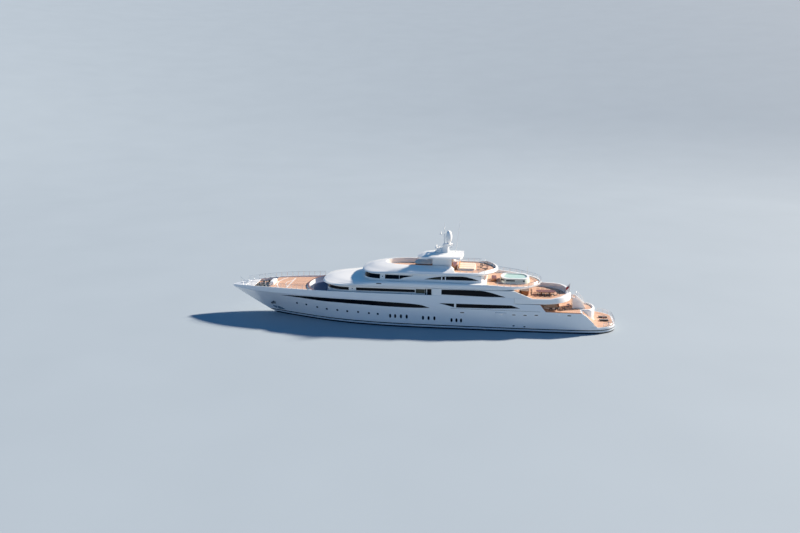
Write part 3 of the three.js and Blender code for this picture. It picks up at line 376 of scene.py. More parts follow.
# Boarding lobbies: a recess behind each side door, with a bar along its top that the door hangs on,
# and pockets for the anchors in the bow. All are lined with the hull's own plate.
DOOR = {"aft": -19.25, "fore": -16.95, "low": 1.45, "high": 4.2, "thick": 0.14, "gap": 0.05}
HINGE_Y = 6.965
HINGE_Z = 4.22


def straight_through(points):
    """Straight lines through points, in order of their first value."""
    spots = sorted(points)

    def value(x):
        for (xa, za), (xb, zb) in zip(spots, spots[1:]):
            if x <= xb:
                return za + (zb - za) * (x - xa) / (xb - xa)
        return spots[-1][1]

    return value


def hull_band(top, bottom, out, depth, count=60, line=curve_through):
    """A closed sheet that follows the hull's side between two lines, from out outside it to depth inside."""
    low, high = line(bottom), line(top)
    corners = sorted({x for x, _ in top + bottom})
    rings = []
    for x in sorted(set(steps(corners[0], corners[-1], count) + corners)):
        heights = steps(low(x), max(high(x), low(x) + 0.01), 4)
        face = [(x, hull_half(x, z) + out, z) for z in heights]
        back = [(x, hull_half(x, z) - depth, z) for z in heights[::-1]]
        rings.append(face + back)
    return loft(rings)


def door_sheet(grow, out, depth):
    x0, x1 = DOOR["aft"] - grow, DOOR["fore"] + grow
    z0, z1 = DOOR["low"] - grow, DOOR["high"] + grow
    return hull_band([(x0, z1), (x1, z1)], [(x0, z0), (x1, z0)], out, depth, 12)


def tube(path, radius, sides=10):
    """A round bar along a line of points; its radius may change from point to point."""
    spots = [Vector(point) for point in path]
    radii = radius if isinstance(radius, list) else [radius] * len(spots)
    ahead = (spots[1] - spots[0]).normalized()
    side = ahead.orthogonal()
    rings = []
    for i, spot in enumerate(spots):
        ahead = (spots[min(i + 1, len(spots) - 1)] - spots[max(i - 1, 0)]).normalized()
        side = (side - ahead * side.dot(ahead)).normalized()
        turns = [2 * pi * k / sides for k in range(sides)]
        rings.append([tuple(spot + radii[i] * (side * cos(t) + ahead.cross(side) * sin(t)))
                      for t in turns])
    return loft(rings)


def moved(solid, matrix):
    return [tuple(matrix @ Vector(corner)) for corner in solid[0]], solid[1]


ANCHOR_PLACE = (Matrix.Translation((33.1, 1.87, 2.62)) @ Matrix.Rotation(radians(-28), 4, "Z")
                @ Matrix.Rotation(radians(30), 4, "Y"))
cut(
    hull,
    both(block(DOOR["aft"] + 0.1, DOOR["fore"] - 0.1, 5.2, 60, DOOR["low"] + 0.1, DOOR["high"] - 0.1)),
    both(door_sheet(DOOR["gap"], 0.3, DOOR["thick"] + DOOR["gap"])),
    both(moved(block(-0.8, 0.8, -0.5, 0.5, -0.45, 0.45), ANCHOR_PLACE)),
)

# Windows: long bands of toughened glass tinted nearly black, bonded 50 mm behind the plating
HULL_WINDOW = (
    [(30.4, 5.48), (28, 5.7), (26.6, 5.78), (22.7, 5.87), (17, 5.84), (11.5, 5.8), (6, 5.65), (2.2, 5.53),
     (-0.9, 5.3), (-3.1, 4.68)],
    [(30.4, 5.47), (28.3, 5.41), (26, 5.3), (23, 5.08), (20, 4.93), (17, 4.88), (11.5, 4.75), (6, 4.6),
     (0.6, 4.55), (-3.1, 4.67)],
)
SALOON_WINDOW = (
    [(-5, 5.84), (-20.2, 5.92), (-22.1, 5.31)],
    [(-5, 5.83), (-8.4, 5.0), (-15.5, 5.06), (-22.1, 5.3)],
)


def tinted_glass(name, dark, pale):
    """A hard, smooth gloss that bends a little in each pane, over a tint with slight clouds in it. An
    anti-glare film keeps the reflection weak, so the glass stays nearly black."""
    material, tree, shader, place = finish_of(name, "dark_glass", dark, 0.05, IOR=1.52,
                                              Specular_IOR_Level=0.09)
    tone = add(tree, "TexNoise", {"Vector": place, "Scale": 3.0, "Detail": 2}).outputs["Fac"]
    lay(tree, shader, tone, dark, pale, tone, 0.1, 0.002)
    return material


SIDES = (("port", lambda form: form), ("stbd", mirrored))  # forms are given to port and mirrored
DARK_GLASS = tinted_glass("tinted_glass_dark", "#04060a", "#10161f")
SMOKED_GLASS = tinted_glass("smoked_glass_lit_from_behind", "#3d4038", "#5a594c")
for name, (top, bottom), line in (
    ("hull_window", HULL_WINDOW, curve_through),
    ("saloon_window", SALOON_WINDOW, straight_through),
):
    cut(hull, both(hull_band(top, bottom, 0.3, 0.13, 60, line)))
    for side, flip in SIDES:
        piece(f"{name}_glass_{side}", flip(hull_band(top, bottom, -0.05, 0.12, 60, line)), DARK_GLASS,
              node=f"{name}_{side}")

# A white mullion across each saloon window, and a thin drip ledge of plate below it, painted dark grey as the
# shadow line under the window
mullion = hull_band([(-8.67, 5.86), (-8.24, 5.86)], [(-8.67, 5.0), (-8.24, 5.0)], -0.005, 0.1, 2)
piece("saloon_window_mullions", both(mullion), WHITE_PAINT)
ledge = hull_band([(-7.5, 4.82), (-26.3, 4.77)], [(-7.5, 4.77), (-26.3, 4.72)], 0.008, 0.1)
piece("drip_ledges_painted_shadow", both(ledge), SHADE_GREY)


# The crease along the topsides stays crisp under the paint
def on_knuckle(corner):
    x, y, z = corner
    return abs(z - station_curves[5](x)) < 0.02 and abs(abs(y) - station_curves[4](x)) < 0.02


for edge in hull.data.edges:
    if all(on_knuckle(hull.data.vertices[k].co / SHIP) for k in edge.vertices):
        edge.use_edge_sharp = True

# Hull fittings
# Round portholes, tall oval ones amidships, fairlead and scupper slots and small discharges, each in a
# polished stainless ring that is bolted on and faired in. The portholes hold dark glass; the mouths of the
# other slots and discharges are plates of the same dark glass, painted shade standing in for the hollows
# behind them.


def rounded(x, z, half_x, half_z, count=24, square=2.0):
    """An upright outline round a place, from an oval to a slot with round corners."""
    turns = [2 * pi * i / count for i in range(count)]
    return [(x + copysign(abs(cos(t)) ** (2 / square), cos(t)) * half_x,
             z + copysign(abs(sin(t)) ** (2 / square), sin(t)) * half_z) for t in turns]


def hull_plate(outline, out, depth):
    """A thin plate that follows the hull's side inside an outline."""
    return loft([[(x, hull_half(x, z) + off, z) for x, z in outline] for off in (out, -depth)])


def polished(name, slot, colour, roughness, scratch):
    """Bare metal with the fine brushed lines that polishing leaves, so it glints in streaks."""
    material, tree, shader, place = finish_of(name, slot, colour, roughness, Metallic=1.0)
    stretched = add(tree, "Mapping", {"Vector": place, "Scale": (1, 6, 6)}).outputs["Vector"]
    lines = add(tree, "TexNoise", {"Vector": stretched, "Scale": scratch, "Detail": 4}).outputs["Fac"]
    rough = add(tree, "MapRange", {"Value": lines, "To Min": roughness * 0.6, "To Max": roughness * 1.5})
    tree.links.new(rough.outputs["Result"], shader.inputs["Roughness"])
    bump = add(tree, "Bump", {"Height": lines, "Strength": 0.2, "Distance": 0.0002})
    tree.links.new(bump.outputs["Normal"], shader.inputs["Normal"])
    return material


STEEL = polished("polished_stainless_steel", "polished_steel", "#d5d8dc", 0.16, 60)
PORTHOLES = [(x, z, 0.2, 0.2, 2) for x, z in (
    (26.84, 3.57), (24.58, 3.49), (22.0, 3.15), (19.75, 2.96), (17.31, 2.94), (15.04, 2.87), (12.59, 2.88),
    (10.18, 2.78), (8.21, 2.72))]
PORTHOLES += [(x, 2.45, 0.2, 0.42, 2.4) for x in (5.5, 4.4, 3.15, 1.9)]
PORTHOLES += [(x, 2.34, 0.2, 0.42, 2.4) for x in (-1.63, -2.83, -4.08)]
PORTHOLES += [(x, 2.1, 0.2, 0.42, 2.4) for x in (-7.75, -8.8, -9.77)]
SLOTS = [(-9.98, 3.9, 0.4, 0.09, 4), (-20.83, 3.83, 0.36, 0.09, 4), (-23.17, 3.84, 0.36, 0.09, 4),
         (-25.49, 3.94, 0.36, 0.09, 4), (-32.3, 4.09, 0.36, 0.1, 4), (-20.87, 1.36, 0.2, 0.1, 2),
         (-23.15, 1.24, 0.2, 0.1, 2)]
glasses_and_slot_shades, rings = [], []
for x, z, half_x, half_z, square in PORTHOLES + SLOTS:
    glasses_and_slot_shades.append(hull_plate(rounded(x, z, half_x, half_z, 24, square), 0.009, 0.05))
    rings.append(hull_plate(rounded(x, z, half_x + 0.05, half_z + 0.05, 24, square), 0.004, 0.05))
rings.append(hull_plate(rounded(-30.12, 4.22, 0.36, 0.1, 24, 4), 0.009, 0.05))
piece("porthole_glasses_and_slot_shades", both(*glasses_and_slot_shades), DARK_GLASS)
piece("porthole_rings", both(*rings), STEEL)

# Teak rail on the cap of the after bulwarks, varnished, in one length to each side
WOOD_GRAIN_MM = 12  # real grain is about 2 mm wide; drawn coarser, or it would not show


def varnished(name, pale, deep):
    """Teak under many coats of varnish: warm, orange-brown, with long dark grain under a wet gloss."""
    material, tree, shader, place = finish_of(name, "varnished_wood", pale, 0.22, IOR=1.5, Coat_Weight=0.8,
                                              Coat_Roughness=0.05)
    along = add(tree, "Mapping", {"Vector": place, "Scale": (0.12, 1, 1)}).outputs["Vector"]
    grain = add(tree, "TexNoise", {"Vector": along, "Scale": 1000 / WOOD_GRAIN_MM, "Detail": 5,
                                   "Distortion": 0.6}).outputs["Fac"]
    lay(tree, shader, grain, pale, deep, grain, 0.15, 0.0003)
    return material


VARNISH = varnished("varnished_teak", "#a2683e", "#5f351b")
cap_rail = []
for x in steps(-27.4, -34.9, 16):
    top = 4.754 + (x + 27.4) * 0.02
    y = hull_half(x, 4.7)
    out, inner = y + 0.03, y - 0.25
    cap_rail.append([(x, out, top), (x, inner, top), (x, inner, top + 0.07), (x, out, top + 0.07)])
piece("bulwark_cap_rail", both(loft(cap_rail)), VARNISH)

# Boarding doors: panels cut from the hull's plating, hung on a bar along their top edge
for side, flip in SIDES:
    body = f"boarding_door_{side}"
    leaf = piece(f"boarding_door_leaf_{side}", flip(door_sheet(0, 0, DOOR["thick"])), HULL_PAINT, body, body)
    notch = tube([(DOOR["aft"] - 0.1, HINGE_Y, HINGE_Z), (DOOR["fore"] + 0.1, HINGE_Y, HINGE_Z)], 0.051, 20)
    cut(leaf, flip(notch))
    recess = hull_plate(rounded(-18.35, 3.8, 0.36, 0.08, 24, 4), 0.006, 0.05)
    piece(f"boarding_door_handle_{side}", flip(recess), STEEL, body)
hinge = tube([(DOOR["aft"] - 0.05, HINGE_Y, HINGE_Z), (DOOR["fore"] + 0.05, HINGE_Y, HINGE_Z)], 0.045, 16)
piece("boarding_door_hinge_bars", both(hinge), STEEL)
inner_door = block(-18.55, -17.65, 5.2, 5.26, 1.6, 3.75)
piece("lobby_inner_doors", both(inner_door), VARNISH)

# Underwater gear
# Keel bar, stern tubes and shaft brackets welded to the hull and coated with the antifouling; bronze
# propellers on their shafts; rudders and stabiliser fins on round stocks.


def speckled(name, pale, deep, roughness, scale, depth, slot="white_paint", **sockets):
    """A finish with a fine, even grain of two tones that also stands in relief."""
    material, tree, shader, place = finish_of(name, slot, pale, roughness, **sockets)
    grain = add(tree, "TexNoise", {"Vector": place, "Scale": scale, "Detail": 4,
                                   "Roughness": 0.7}).outputs["Fac"]
    lay(tree, shader, grain, pale, deep, grain, 0.4, depth)
    return material


ANTIFOULING = speckled("rolled_antifouling", "#4a1a1c", "#35100f", 0.6, 90, 0.0004)
BRONZE = polished("cast_bronze", "bronze", "#b07a3c", 0.3, 25)
SHAFT_Y, SHAFT_Z = 2.9, -2.85
RUDDER_X = -37.2


def ring_on_shaft(x, radius):
    return [(x, SHAFT_Y + py, SHAFT_Z + pz) for py, pz in disc(0, 0, radius, 20)]


stern_gear = [
    loft([ring_on_shaft(x, r) for x, r in ((-27, 0.26), (-26.8, 0.3), (-18, 0.3))]),
    loft([ring_on_shaft(x, r) for x, r in ((-33.65, 0.26), (-33.5, 0.32), (-32.7, 0.32), (-32.55, 0.26))]),
]
for lean in (-30, 30):
    strut = slab([(-33.5 + 0.8 * t, 0.07 * sin(pi * t) + 0.005) for t in steps(0, 1, 8)]
                 + [(-33.5 + 0.8 * t, -0.07 * sin(pi * t) - 0.005) for t in steps(1, 0, 8)], 0, 2)
    stern_gear.append(moved(strut, Matrix.Translation((0, SHAFT_Y, SHAFT_Z)) @ Matrix.Rotation(
        radians(lean), 4, "X")))
piece("keel_bar", block(-33, 27.5, -0.3, 0.3, -3.98, -1.2), ANTIFOULING)
piece("stern_tubes_and_brackets", both(*stern_gear), ANTIFOULING)


def blade(turn):
    """A propeller blade from its root to its tip, with falling pitch and swept back edges."""
    sections = []
    for r, chord, thick, pitch in (
        (0.18, 0.26, 0.06, 1.0), (0.35, 0.4, 0.05, 0.85), (0.55, 0.5, 0.04, 0.7), (0.75, 0.5, 0.032, 0.6),
        (0.92, 0.38, 0.025, 0.52), (1.02, 0.2, 0.016, 0.47), (1.05, 0.05, 0.01, 0.45),
    ):
        ring = []
        for k in range(12):
            t = 2 * pi * k / 12
            u, w = chord * cos(t), thick * sin(t)
            ring.append((u * sin(pitch) + w * cos(pitch), -u * cos(pitch) + w * sin(pitch), r))
        sections.append(ring)
    place = Matrix.Translation((-34.5, SHAFT_Y, SHAFT_Z)) @ Matrix.Rotation(turn, 4, "X")
    return moved(loft(sections), place)


def foil(lead, trail, thick, z):
    """Section of a rudder or fin, round in front and sharp behind."""
    spots = [(1 - cos(t)) / 2 for t in steps(0, pi, 12)]
    shape = [thick * (2.97 * sqrt(s) - 1.26 * s - 3.52 * s ** 2 + 2.84 * s ** 3 - 1.01 * s ** 4)
             for s in spots]
    one = [(lead + (trail - lead) * s, half, z) for s, half in zip(spots, shape)]
    return one + [(x, -y, z) for x, y, _ in one[-2:0:-1]]


fin_place = Matrix.Translation((2, 5.65, -2.94)) @ Matrix.Rotation(radians(40), 4, "X")
for side, flip in SIDES:
    hub = loft([ring_on_shaft(x, r)
                for x, r in ((-35.05, 0.03), (-34.95, 0.16), (-34.6, 0.27), (-34.15, 0.3))])
    shaft = loft([ring_on_shaft(x, 0.14) for x in (-34.6, -25)])
    screw = together(hub, shaft, *[blade(k * 2 * pi / 5) for k in range(5)])
    piece(f"propeller_and_shaft_{side}", flip(screw), BRONZE, f"propeller_{side}", f"propeller_{side}")
    plate = loft([[(x + RUDDER_X, y + SHAFT_Y, z) for x, y, z in foil(lead, trail, thick, z)]
                  for z, lead, trail, thick in ((-3.6, 0.45, -1.0, 0.12), (-1.42, 0.6, -1.35, 0.17))])
    stock = tube([(RUDDER_X, SHAFT_Y, -1.92), (RUDDER_X, SHAFT_Y, -0.8)], 0.13, 16)
    piece(f"rudder_blade_{side}", flip(together(plate, stock)), ANTIFOULING, f"rudder_{side}",
          f"rudder_{side}")
    plate = loft([foil(half, -half, thick, -out)
                  for out, half, thick in ((0.12, 0.8, 0.14), (1.7, 0.5, 0.07))])
    stock = tube([(0, 0, -0.32), (0, 0, 0.6)], 0.13, 16)
    piece(f"fin_{side}", flip(moved(together(plate, stock), fin_place)), ANTIFOULING,
          f"stabiliser_fin_{side}", f"stabiliser_fin_{side}")

# Anchors
# Cast steel, galvanised: shank, crown and two flukes, drawn up flat in the pocket, over a polished
# wear plate on the bow below it.
GALVANISED = speckled("hot_dip_galvanised_steel", "#8e9498", "#6d7478", 0.42, 45, 0.0006, "galvanised_steel",
                      Metallic=1.0)
BED = -0.496  # the anchor's side that lies on the floor of its pocket
shank = loft([[(x, BED, -h), (x, BED, h), (x, top, h), (x, top, -h)]
              for x, h, top in ((-0.5, 0.09, -0.28), (0.4, 0.07, -0.32), (0.6, 0.05, -0.36))])
flukes = []
for s in (1, -1):
    rings = []
    for t in steps(0, 0.45, 4):
        low, high = s * (0.09 + 0.27 * t), s * (0.05 + 0.18 * t)
        rings.append([(-0.62 + 0.75 * t, BED, low), (-0.62 + 0.75 * t, -0.3 + 0.1 * t, low),
                      (-0.4 + 0.9 * t, -0.36, high), (-0.4 + 0.9 * t, BED, high)])
    flukes.append(loft(rings))
crown = tube([(-0.56, -0.36, -0.34), (-0.56, -0.36, 0.34)], 0.11, 14)
for side, flip in SIDES:
    piece(f"anchor_{side}_cast", flip(moved(together(shank, crown, *flukes), ANCHOR_PLACE)), GALVANISED,
          node=f"anchor_{side}")
wear_plate = hull_band([(33.3, 1.9), (31.6, 1.75), (30.4, 1.35)],
                       [(33.3, 1.55), (31.6, 1.05), (30.4, 1.1)], 0.012, 0.05)
piece("anchor_wear_plates", both(wear_plate), STEEL)

# Decks: teak planks caulked with black rubber, the lounge's floor in dark blue non-slip paint, and the same
# blue-grey as painted shadow on the lounge's round inner wall.
# Real planks are 60 mm wide; they are drawn 300 mm wide, or no seam would show.
PLANK = 0.3


def teak_deck(name, pale, deep, seam):
    """Scrubbed teak: a matt, peach-brown wood with fine grain, each plank a little different."""
    material, tree, shader, place = finish_of(name, "teak", pale, 0.62, IOR=1.5)
    split = add(tree, "SeparateXYZ", {"Vector": place})
    counted = add(tree, "Math", {0: split.outputs["Y"], 1: 1 / (PLANK * SHIP)}, operation="MULTIPLY")
    number = add(tree, "Math", {0: counted.outputs[0]}, operation="FLOOR")
    share = add(tree, "Math", {0: counted.outputs[0]}, operation="FRACT")
    middle = add(tree, "Math", {0: share.outputs[0], 1: 0.5}, operation="SUBTRACT")
    aside = add(tree, "Math", {0: middle.outputs[0]}, operation="ABSOLUTE")
    caulk = add(tree, "Math", {0: aside.outputs[0], 1: 0.46}, operation="GREATER_THAN").outputs[0]
    chance = add(tree, "TexWhiteNoise", {"W": number.outputs[0]}, noise_dimensions="1D")
    grain = add(tree, "Mapping", {"Vector": place, "Scale": (4, 90, 4)}).outputs["Vector"]
    fibre = add(tree, "TexNoise", {"Vector": grain, "Scale": 3.0, "Detail": 4})
    blend = add(tree, "Math", {0: chance.outputs["Value"], 1: fibre.outputs["Fac"]},
                operation="MULTIPLY").outputs[0]
    wood = lay(tree, shader, blend, pale, deep, caulk, 0.5, 0.0006, invert=True)
    seamed = add(tree, "Mix", {"Factor": caulk, "A": wood, "B": linear(seam)}, data_type="RGBA")
    tree.links.new(seamed.outputs["Result"], shader.inputs["Base Color"])
    return material


TEAK = teak_deck("scrubbed_teak_planks", "#cca791", "#b28c75", "#6d5346")
NON_SLIP_AND_SHADOW = speckled("blue_grey_non_slip_paint_and_painted_shadow", "#4f5f80", "#43526f", 0.7, 160, 0.0006)


def paint(made, material, test, level=True):
    """Gives some faces of a piece their own finish; the test is given x, y and z of a face's middle."""
    made.data.materials.append(material)
    for face in made.data.polygons:
        if (face.normal.z > 0.99 or not level) and test(*(face.center / SHIP)):
            face.material_index = len(made.data.materials) - 1


paint(hull, NON_SLIP_AND_SHADOW, lambda x, y, z: abs(z - UPPER_DECK) < 0.05 and x < 24.7)
# The lounge's round inner wall gets the same dark blue-grey: painted shadow of the house, which falls over
# the lounge
paint(hull, NON_SLIP_AND_SHADOW, lambda x, y, z: x > LOUNGE_X and abs(hypot(x - LOUNGE_X, y) - LOUNGE_RADIUS) < 0.04
      and UPPER_DECK < z < 7.5, False)
paint(hull, TEAK, lambda x, y, z: abs(z - FOREPEAK) < 0.05 and x > 33)
paint(hull, TEAK, lambda x, y, z: abs(z - DOOR["low"] - 0.1) < 0.05 and 5 < abs(y) < 6.8
      and -19.3 < x < -16.9)
# The inside of each anchor pocket is painted dark grey: painted shade in the recess
paint(hull, SHADE_GREY, lambda x, y, z: 32.2 < x < 34.2 and 1.8 < z < 3.4
      and abs(y) < hull_half(x, z) - 0.06, False)
for name, outline, z in (
    ("foredeck", foredeck_outline(0.2), FOREDECK),
    ("main_deck", well_outline(-34.9, -24.8, 0.15), MAIN_DECK),
    ("platform", well_outline(-42, -38.4, 0.4), PLATFORM),
):
    piece(name + "_teak", slab(outline, z + SEAT, z + PLANKED), TEAK, node=name + "_planking")

# Foredeck: a white landing line and margin, hatches flush in the planks, and a white locker ahead of them
DECK_TOP = FOREDECK + PLANKED


def strip(points, width, z0, z1):
    """A flat strip of even width along a line of x, y points."""
    left, right = [], []
    for i, (x, y) in enumerate(points):
        (xa, ya), (xb, yb) = points[max(i - 1, 0)], points[min(i + 1, len(points) - 1)]
        reach = hypot(xb - xa, yb - ya)
        across = ((ya - yb) / reach * width / 2, (xb - xa) / reach * width / 2)
        left.append((x + across[0], y + across[1]))
        right.append((x - across[0], y - across[1]))
    return slab(left + right[::-1], z0, z1)


landing_line = strip([(29.0, y) for y in (-4.0, 0, 4.0)], 0.22, DECK_TOP - 0.02, DECK_TOP + 0.008)
arc_line = strip([(26.2 + 3.85 * cos(t), 0.3 + 3.85 * sin(t)) for t in steps(-0.75, 1.0, 20)], 0.12,
                 DECK_TOP - 0.02, DECK_TOP + 0.007)
fore_edge = [(32.0 - (y / 4.2) ** 2 * 1.3, y) for y in steps(-4.0, 4.0, 24)]
fore_margin = strip(fore_edge, 0.2, DECK_TOP - 0.02, DECK_TOP + 0.009)
piece("foredeck_lines", together(landing_line, arc_line, fore_margin), WHITE_PAINT)
hatch_seams = [strip([(x0, y), (x1, y)], 0.1, DECK_TOP - 0.02, DECK_TOP + 0.006) for x0, x1, y in (
    (25.7, 28.5, -1.2), (25.3, 28.4, 0.2), (25.6, 28.1, 1.15), (25.9, 28.0, 2.2))]
piece("foredeck_hatch_seams", together(*hatch_seams), VARNISH)

# Varnished capping on the round rim between the foredeck and the lounge
rim_turns = steps(-0.72, 0.72, 40)
rim = strip([(LOUNGE_X + 9.15 * cos(t), 9.15 * sin(t)) for t in rim_turns], 0.34, 0, 0.03)
rim = ([(x, y, z + cap_height(x) - 0.005) for x, y, z in rim[0]], rim[1])
piece("lounge_rim_capping", rim, VARNISH)

# Forepeak
# Mooring deck behind the stem, with a plate that closes the bow, a moulded locker, and two windlasses
# and six bollards bolted to one bed. The gear is cast steel, hot-dip galvanised.


def turned(profile, x, y, sides=24):
    """A round form on an upright axis, through radii at their heights."""
    return loft([[(px, py, z) for px, py in disc(x, y, r, sides)] for r, z in profile])


bow_plate = []
for x in (39.1, 38.2, 37.5, 36.9):
    z, y = cap_height(x) - 0.06, cap_half(x) - BULWARK + 0.02
    crowned = []
    for t in steps(-y, y, 12):
        camber = 1 - (t / y) ** 2
        crowned.append((x - 0.25 * camber * (x < 37), t, z + 0.05 * camber))
    bow_plate.append(crowned + [(px, t, h - 0.08) for px, t, h in crowned[::-1]])
piece("bow_plate", loft(bow_plate), WHITE_PAINT)


def soft_box(x0, x1, y0, y1, z0, z1, edge=0.08):
    """A moulded box with rounded top edges and corners."""
    def ring(inset, z):
        middle_x, middle_y = (x0 + x1) / 2, (y0 + y1) / 2
        half_x, half_y = (x1 - x0) / 2 - inset, (y1 - y0) / 2 - inset
        return [(x, y, z) for x, y in rounded(middle_x, middle_y, half_x, half_y, 40, 7)]
    bend = [(edge * (1 - cos(t)), z1 - edge + edge * sin(t)) for t in steps(0, pi / 2, 6)]
    return loft([ring(0, z0)] + [ring(inset, z) for inset, z in bend])


piece("foredeck_locker", soft_box(32.35, 33.35, -0.7, 2.3, DECK_TOP, DECK_TOP + 0.75, 0.15), WHITE_PAINT)
GEAR_Z = FOREPEAK + SEAT
drum = [(0.3, 0), (0.3, 0.12), (0.2, 0.2), (0.19, 0.42), (0.3, 0.52), (0.3, 0.68), (0.22, 0.75)]
bollard = [(0.2, 0), (0.2, 0.04), (0.11, 0.07), (0.11, 0.32), (0.14, 0.36), (0.12, 0.4)]
gear = [block(34.3, 37.2, -1.3, 1.3, GEAR_Z, GEAR_Z + 0.08)]
for x, y, shape in ((35.6, 0.75, drum), (36.6, 0.6, bollard), (34.6, 1.05, bollard), (35.0, 1.05, bollard)):
    for sign in (1, -1):
        gear.append(turned([(r, GEAR_Z + 0.06 + h * 0.98) for r, h in shape], x, sign * y))
piece("windlasses_and_bollards", together(*gear), GALVANISED, node="mooring_gear")
# Black polyethylene, rotation moulded: a dull, faintly grained skin
dark_plastic = speckled("moulded_black_polyethylene", "#1d2125", "#0f1214", 0.8, 120, 0.0005)
piece("forepeak_gear_boxes", together(
    soft_box(34.2, 35.0, -2.9, -2.1, FOREPEAK, FOREPEAK + 0.45),
    soft_box(35.2, 36.0, 1.6, 2.2, FOREPEAK, FOREPEAK + 0.35),
), dark_plastic)

# Jackstaff: a polished tube on a plate at the stem, held by a raking stay
stem_plate = strip([(39.2, 0), (40, 0), (40.9, 0)], 0.24, 0, 0.07)
stem_plate = ([(x, y, z + cap_height(x) + SEAT) for x, y, z in stem_plate[0]], stem_plate[1])
piece("jackstaff_tubes", together(
    stem_plate,
    tube([(40.6, 0, cap_height(40.6) + 0.05), (40.8, 0, 8.2)], [0.05, 0.03], 12),
    tube([(39.3, 0, cap_height(39.3) + 0.05), (40.78, 0, 8.05)], 0.025),
    turned([(0.001, 8.14), (0.05, 8.17), (0.05, 8.2), (0.001, 8.235)], 40.8, 0, 12),
), STEEL, node="jackstaff")


# Guard rails: stanchions with a round top rail and thin wires, polished stainless, welded to the cap
def guard_rail(foot, height, spacing, post=0.04, top=0.032, wires=(0.33, 0.66)):
    spots = [Vector(point) for point in foot]
    run = [0]
    for a, b in zip(spots, spots[1:]):
        run.append(run[-1] + (b - a).length)
    count = max(1, round(run[-1] / spacing))
    lift = Vector((0, 0, 1))
    forms = [tube([tuple(p + lift * height) for p in spots], top, 8)]
    forms += [tube([tuple(p + lift * height * share) for p in spots], 0.012, 5) for share in wires]
    for k in range(count + 1):
        goal = run[-1] * k / count
        i = min(len(spots) - 2, max(j for j in range(len(run)) if run[j] <= goal + 1e-9))
        place = spots[i].lerp(spots[i + 1], (goal - run[i]) / (run[i + 1] - run[i]))
        forms.append(tube([tuple(place), tuple(place + lift * height)], post, 8))
        forms.append(tube([tuple(place), tuple(place + lift * 0.03)], post * 2, 10))
    return together(*forms)


foredeck_foot = [(x, cap_half(x) - 0.11, cap_height(x) + 0.002) for x in steps(22.4, 39.6, 30)]
for side, flip in SIDES:
    piece(f"foredeck_guard_rail_{side}", flip(guard_rail(foredeck_foot, 0.93, 1.3, 0.042, 0.026)), STEEL,
          node=f"foredeck_rail_{side}")

# Superstructure shells
# Aluminium plate welded to the steel hull and faired to the same white topcoat. Each level is a form
# stacked from plan outlines; the rows hold z, aft, fore, beam, beam aft, nose and tail, and square and
# blunt where an end isn't a plain ellipse.


def plan(aft, fore, beam, beam_aft, nose, tail, square=2, blunt=2, inset=0.0):
    """A plan outline: a nose, straight sides and a tail, each round to its own fullness."""
    turns = steps(0, pi / 2, 20)
    front = [(fore - inset - nose + nose * cos(t) ** (2 / blunt),
              (beam - inset) * sin(t) ** (2 / blunt)) for t in turns]
    back = [(aft + inset + tail - tail * cos(t) ** (2 / square),
             (beam_aft - inset) * sin(t) ** (2 / square)) for t in turns[::-1]]
    half = front + back
    return half + [(x, -y) for x, y in half[-2:0:-1]]


def refine(rows, count):
    """More rows between those of a table, on smooth curves through them."""
    curves = [curve_through(list(enumerate(column))) for column in zip(*rows)]
    return [[curve(i / count) for curve in curves] for i in range((len(rows) - 1) * count + 1)]


def tiers(rows, inset=0.0):
    return loft([[(x, y, row[0]) for x, y in plan(*row[1:], inset=inset)] for row in rows])


def level(row, z0, z1, inset=0.0):
    """One plan outline, from one height to another."""
    return tiers([(z, *row) for z in (z0, z1)], inset)


def skin(name, rows, outline, outer, inner, material, across=(-FAR, FAR)):
    """A part of a house's wall: what lies in an outline seen from the side, between two depths behind it."""
    made = piece(name, prism(outline, *across), material)
    cut(made, tiers(rows, outer), operation="INTERSECT")
    return cut(made, tiers(rows, inner))


def glaze(name, made, rows, outline, replaced, across=(-FAR, FAR)):
    """Cuts a window into a house and sets its pane of dark glass 50 mm behind the wall."""
    cut(made, skin(name + "_rebate", rows, outline, -0.3, 0.13, WHITE_PAINT, across))
    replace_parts(skin(name, rows, outline, 0.05, 0.125, DARK_GLASS, across), replaced)


def upright(x0, x1, z0, z1):
    return [(x0, z0), (x1, z0), (x1, z1), (x0, z1)]


# Upper deck house: a round-nosed house inside the side decks, then the full beam aft of them
UPPER_HOUSE = [
    (6.504, -3.85, 20.3, 6.15, 6.15, 8, 0.05, 2, 3.2),
    (8.946, -3.85, 20.0, 6.05, 6.05, 8, 0.05, 2, 3.2),
]
FORE_WINDOW = [(30, 8.4), (0.2, 8.36), (0.2, 7.75), (30, 7.72)]
AFT_WINDOW_TOP = curve_through([(-5.5, 8.82), (-10.2, 8.9), (-13.6, 8.88), (-15.7, 8.55), (-17.8, 7.97),
                                (-19.1, 7.6)])
aft_window = [(x, AFT_WINDOW_TOP(x)) for x in steps(-5.5, -19.1, 28)] + [(-14.2, 7.56), (-5.5, 7.72)]
upper_house = piece("upper_house_shell", tiers(UPPER_HOUSE), WHITE_PAINT, node="upper_house")
glaze("upper_glass_fore", upper_house, UPPER_HOUSE, FORE_WINDOW, "upper_window_fore")
for name, x0, x1, z0, z1, outer, inner, material in (
    ("upper_window_column", 13.0, 14.6, 7.73, 8.38, 0.02, 0.06, WHITE_PAINT),
    ("upper_side_panel", -1.9, 0.05, 7.6, 8.5, -0.012, 0.05, SMOKED_GLASS),
    ("upper_side_door", -3.3, -2.4, 6.6, 8.6, -0.012, 0.05, DARK_GLASS),
    ("upper_side_strip", -2.23, -1.95, 6.6, 8.6, -0.012, 0.05, DARK_GLASS),
):
    skin(name, UPPER_HOUSE, upright(x0, x1, z0, z1), outer, inner, material)
piece("upper_house_lights", both(*[tube([(x, y - 0.06, z), (x, y + 0.015, z)], 0.09, 14)
                                   for x, y, z in ((13.8, 6.08, 8.1), (1.0, 6.12, 7.3))]), DARK_GLASS)
upper_aft = piece("upper_house_aft_shell", block(HOUSE_AFT, -3.5, -6.86, 6.86, 7.504, 8.946), WHITE_PAINT)
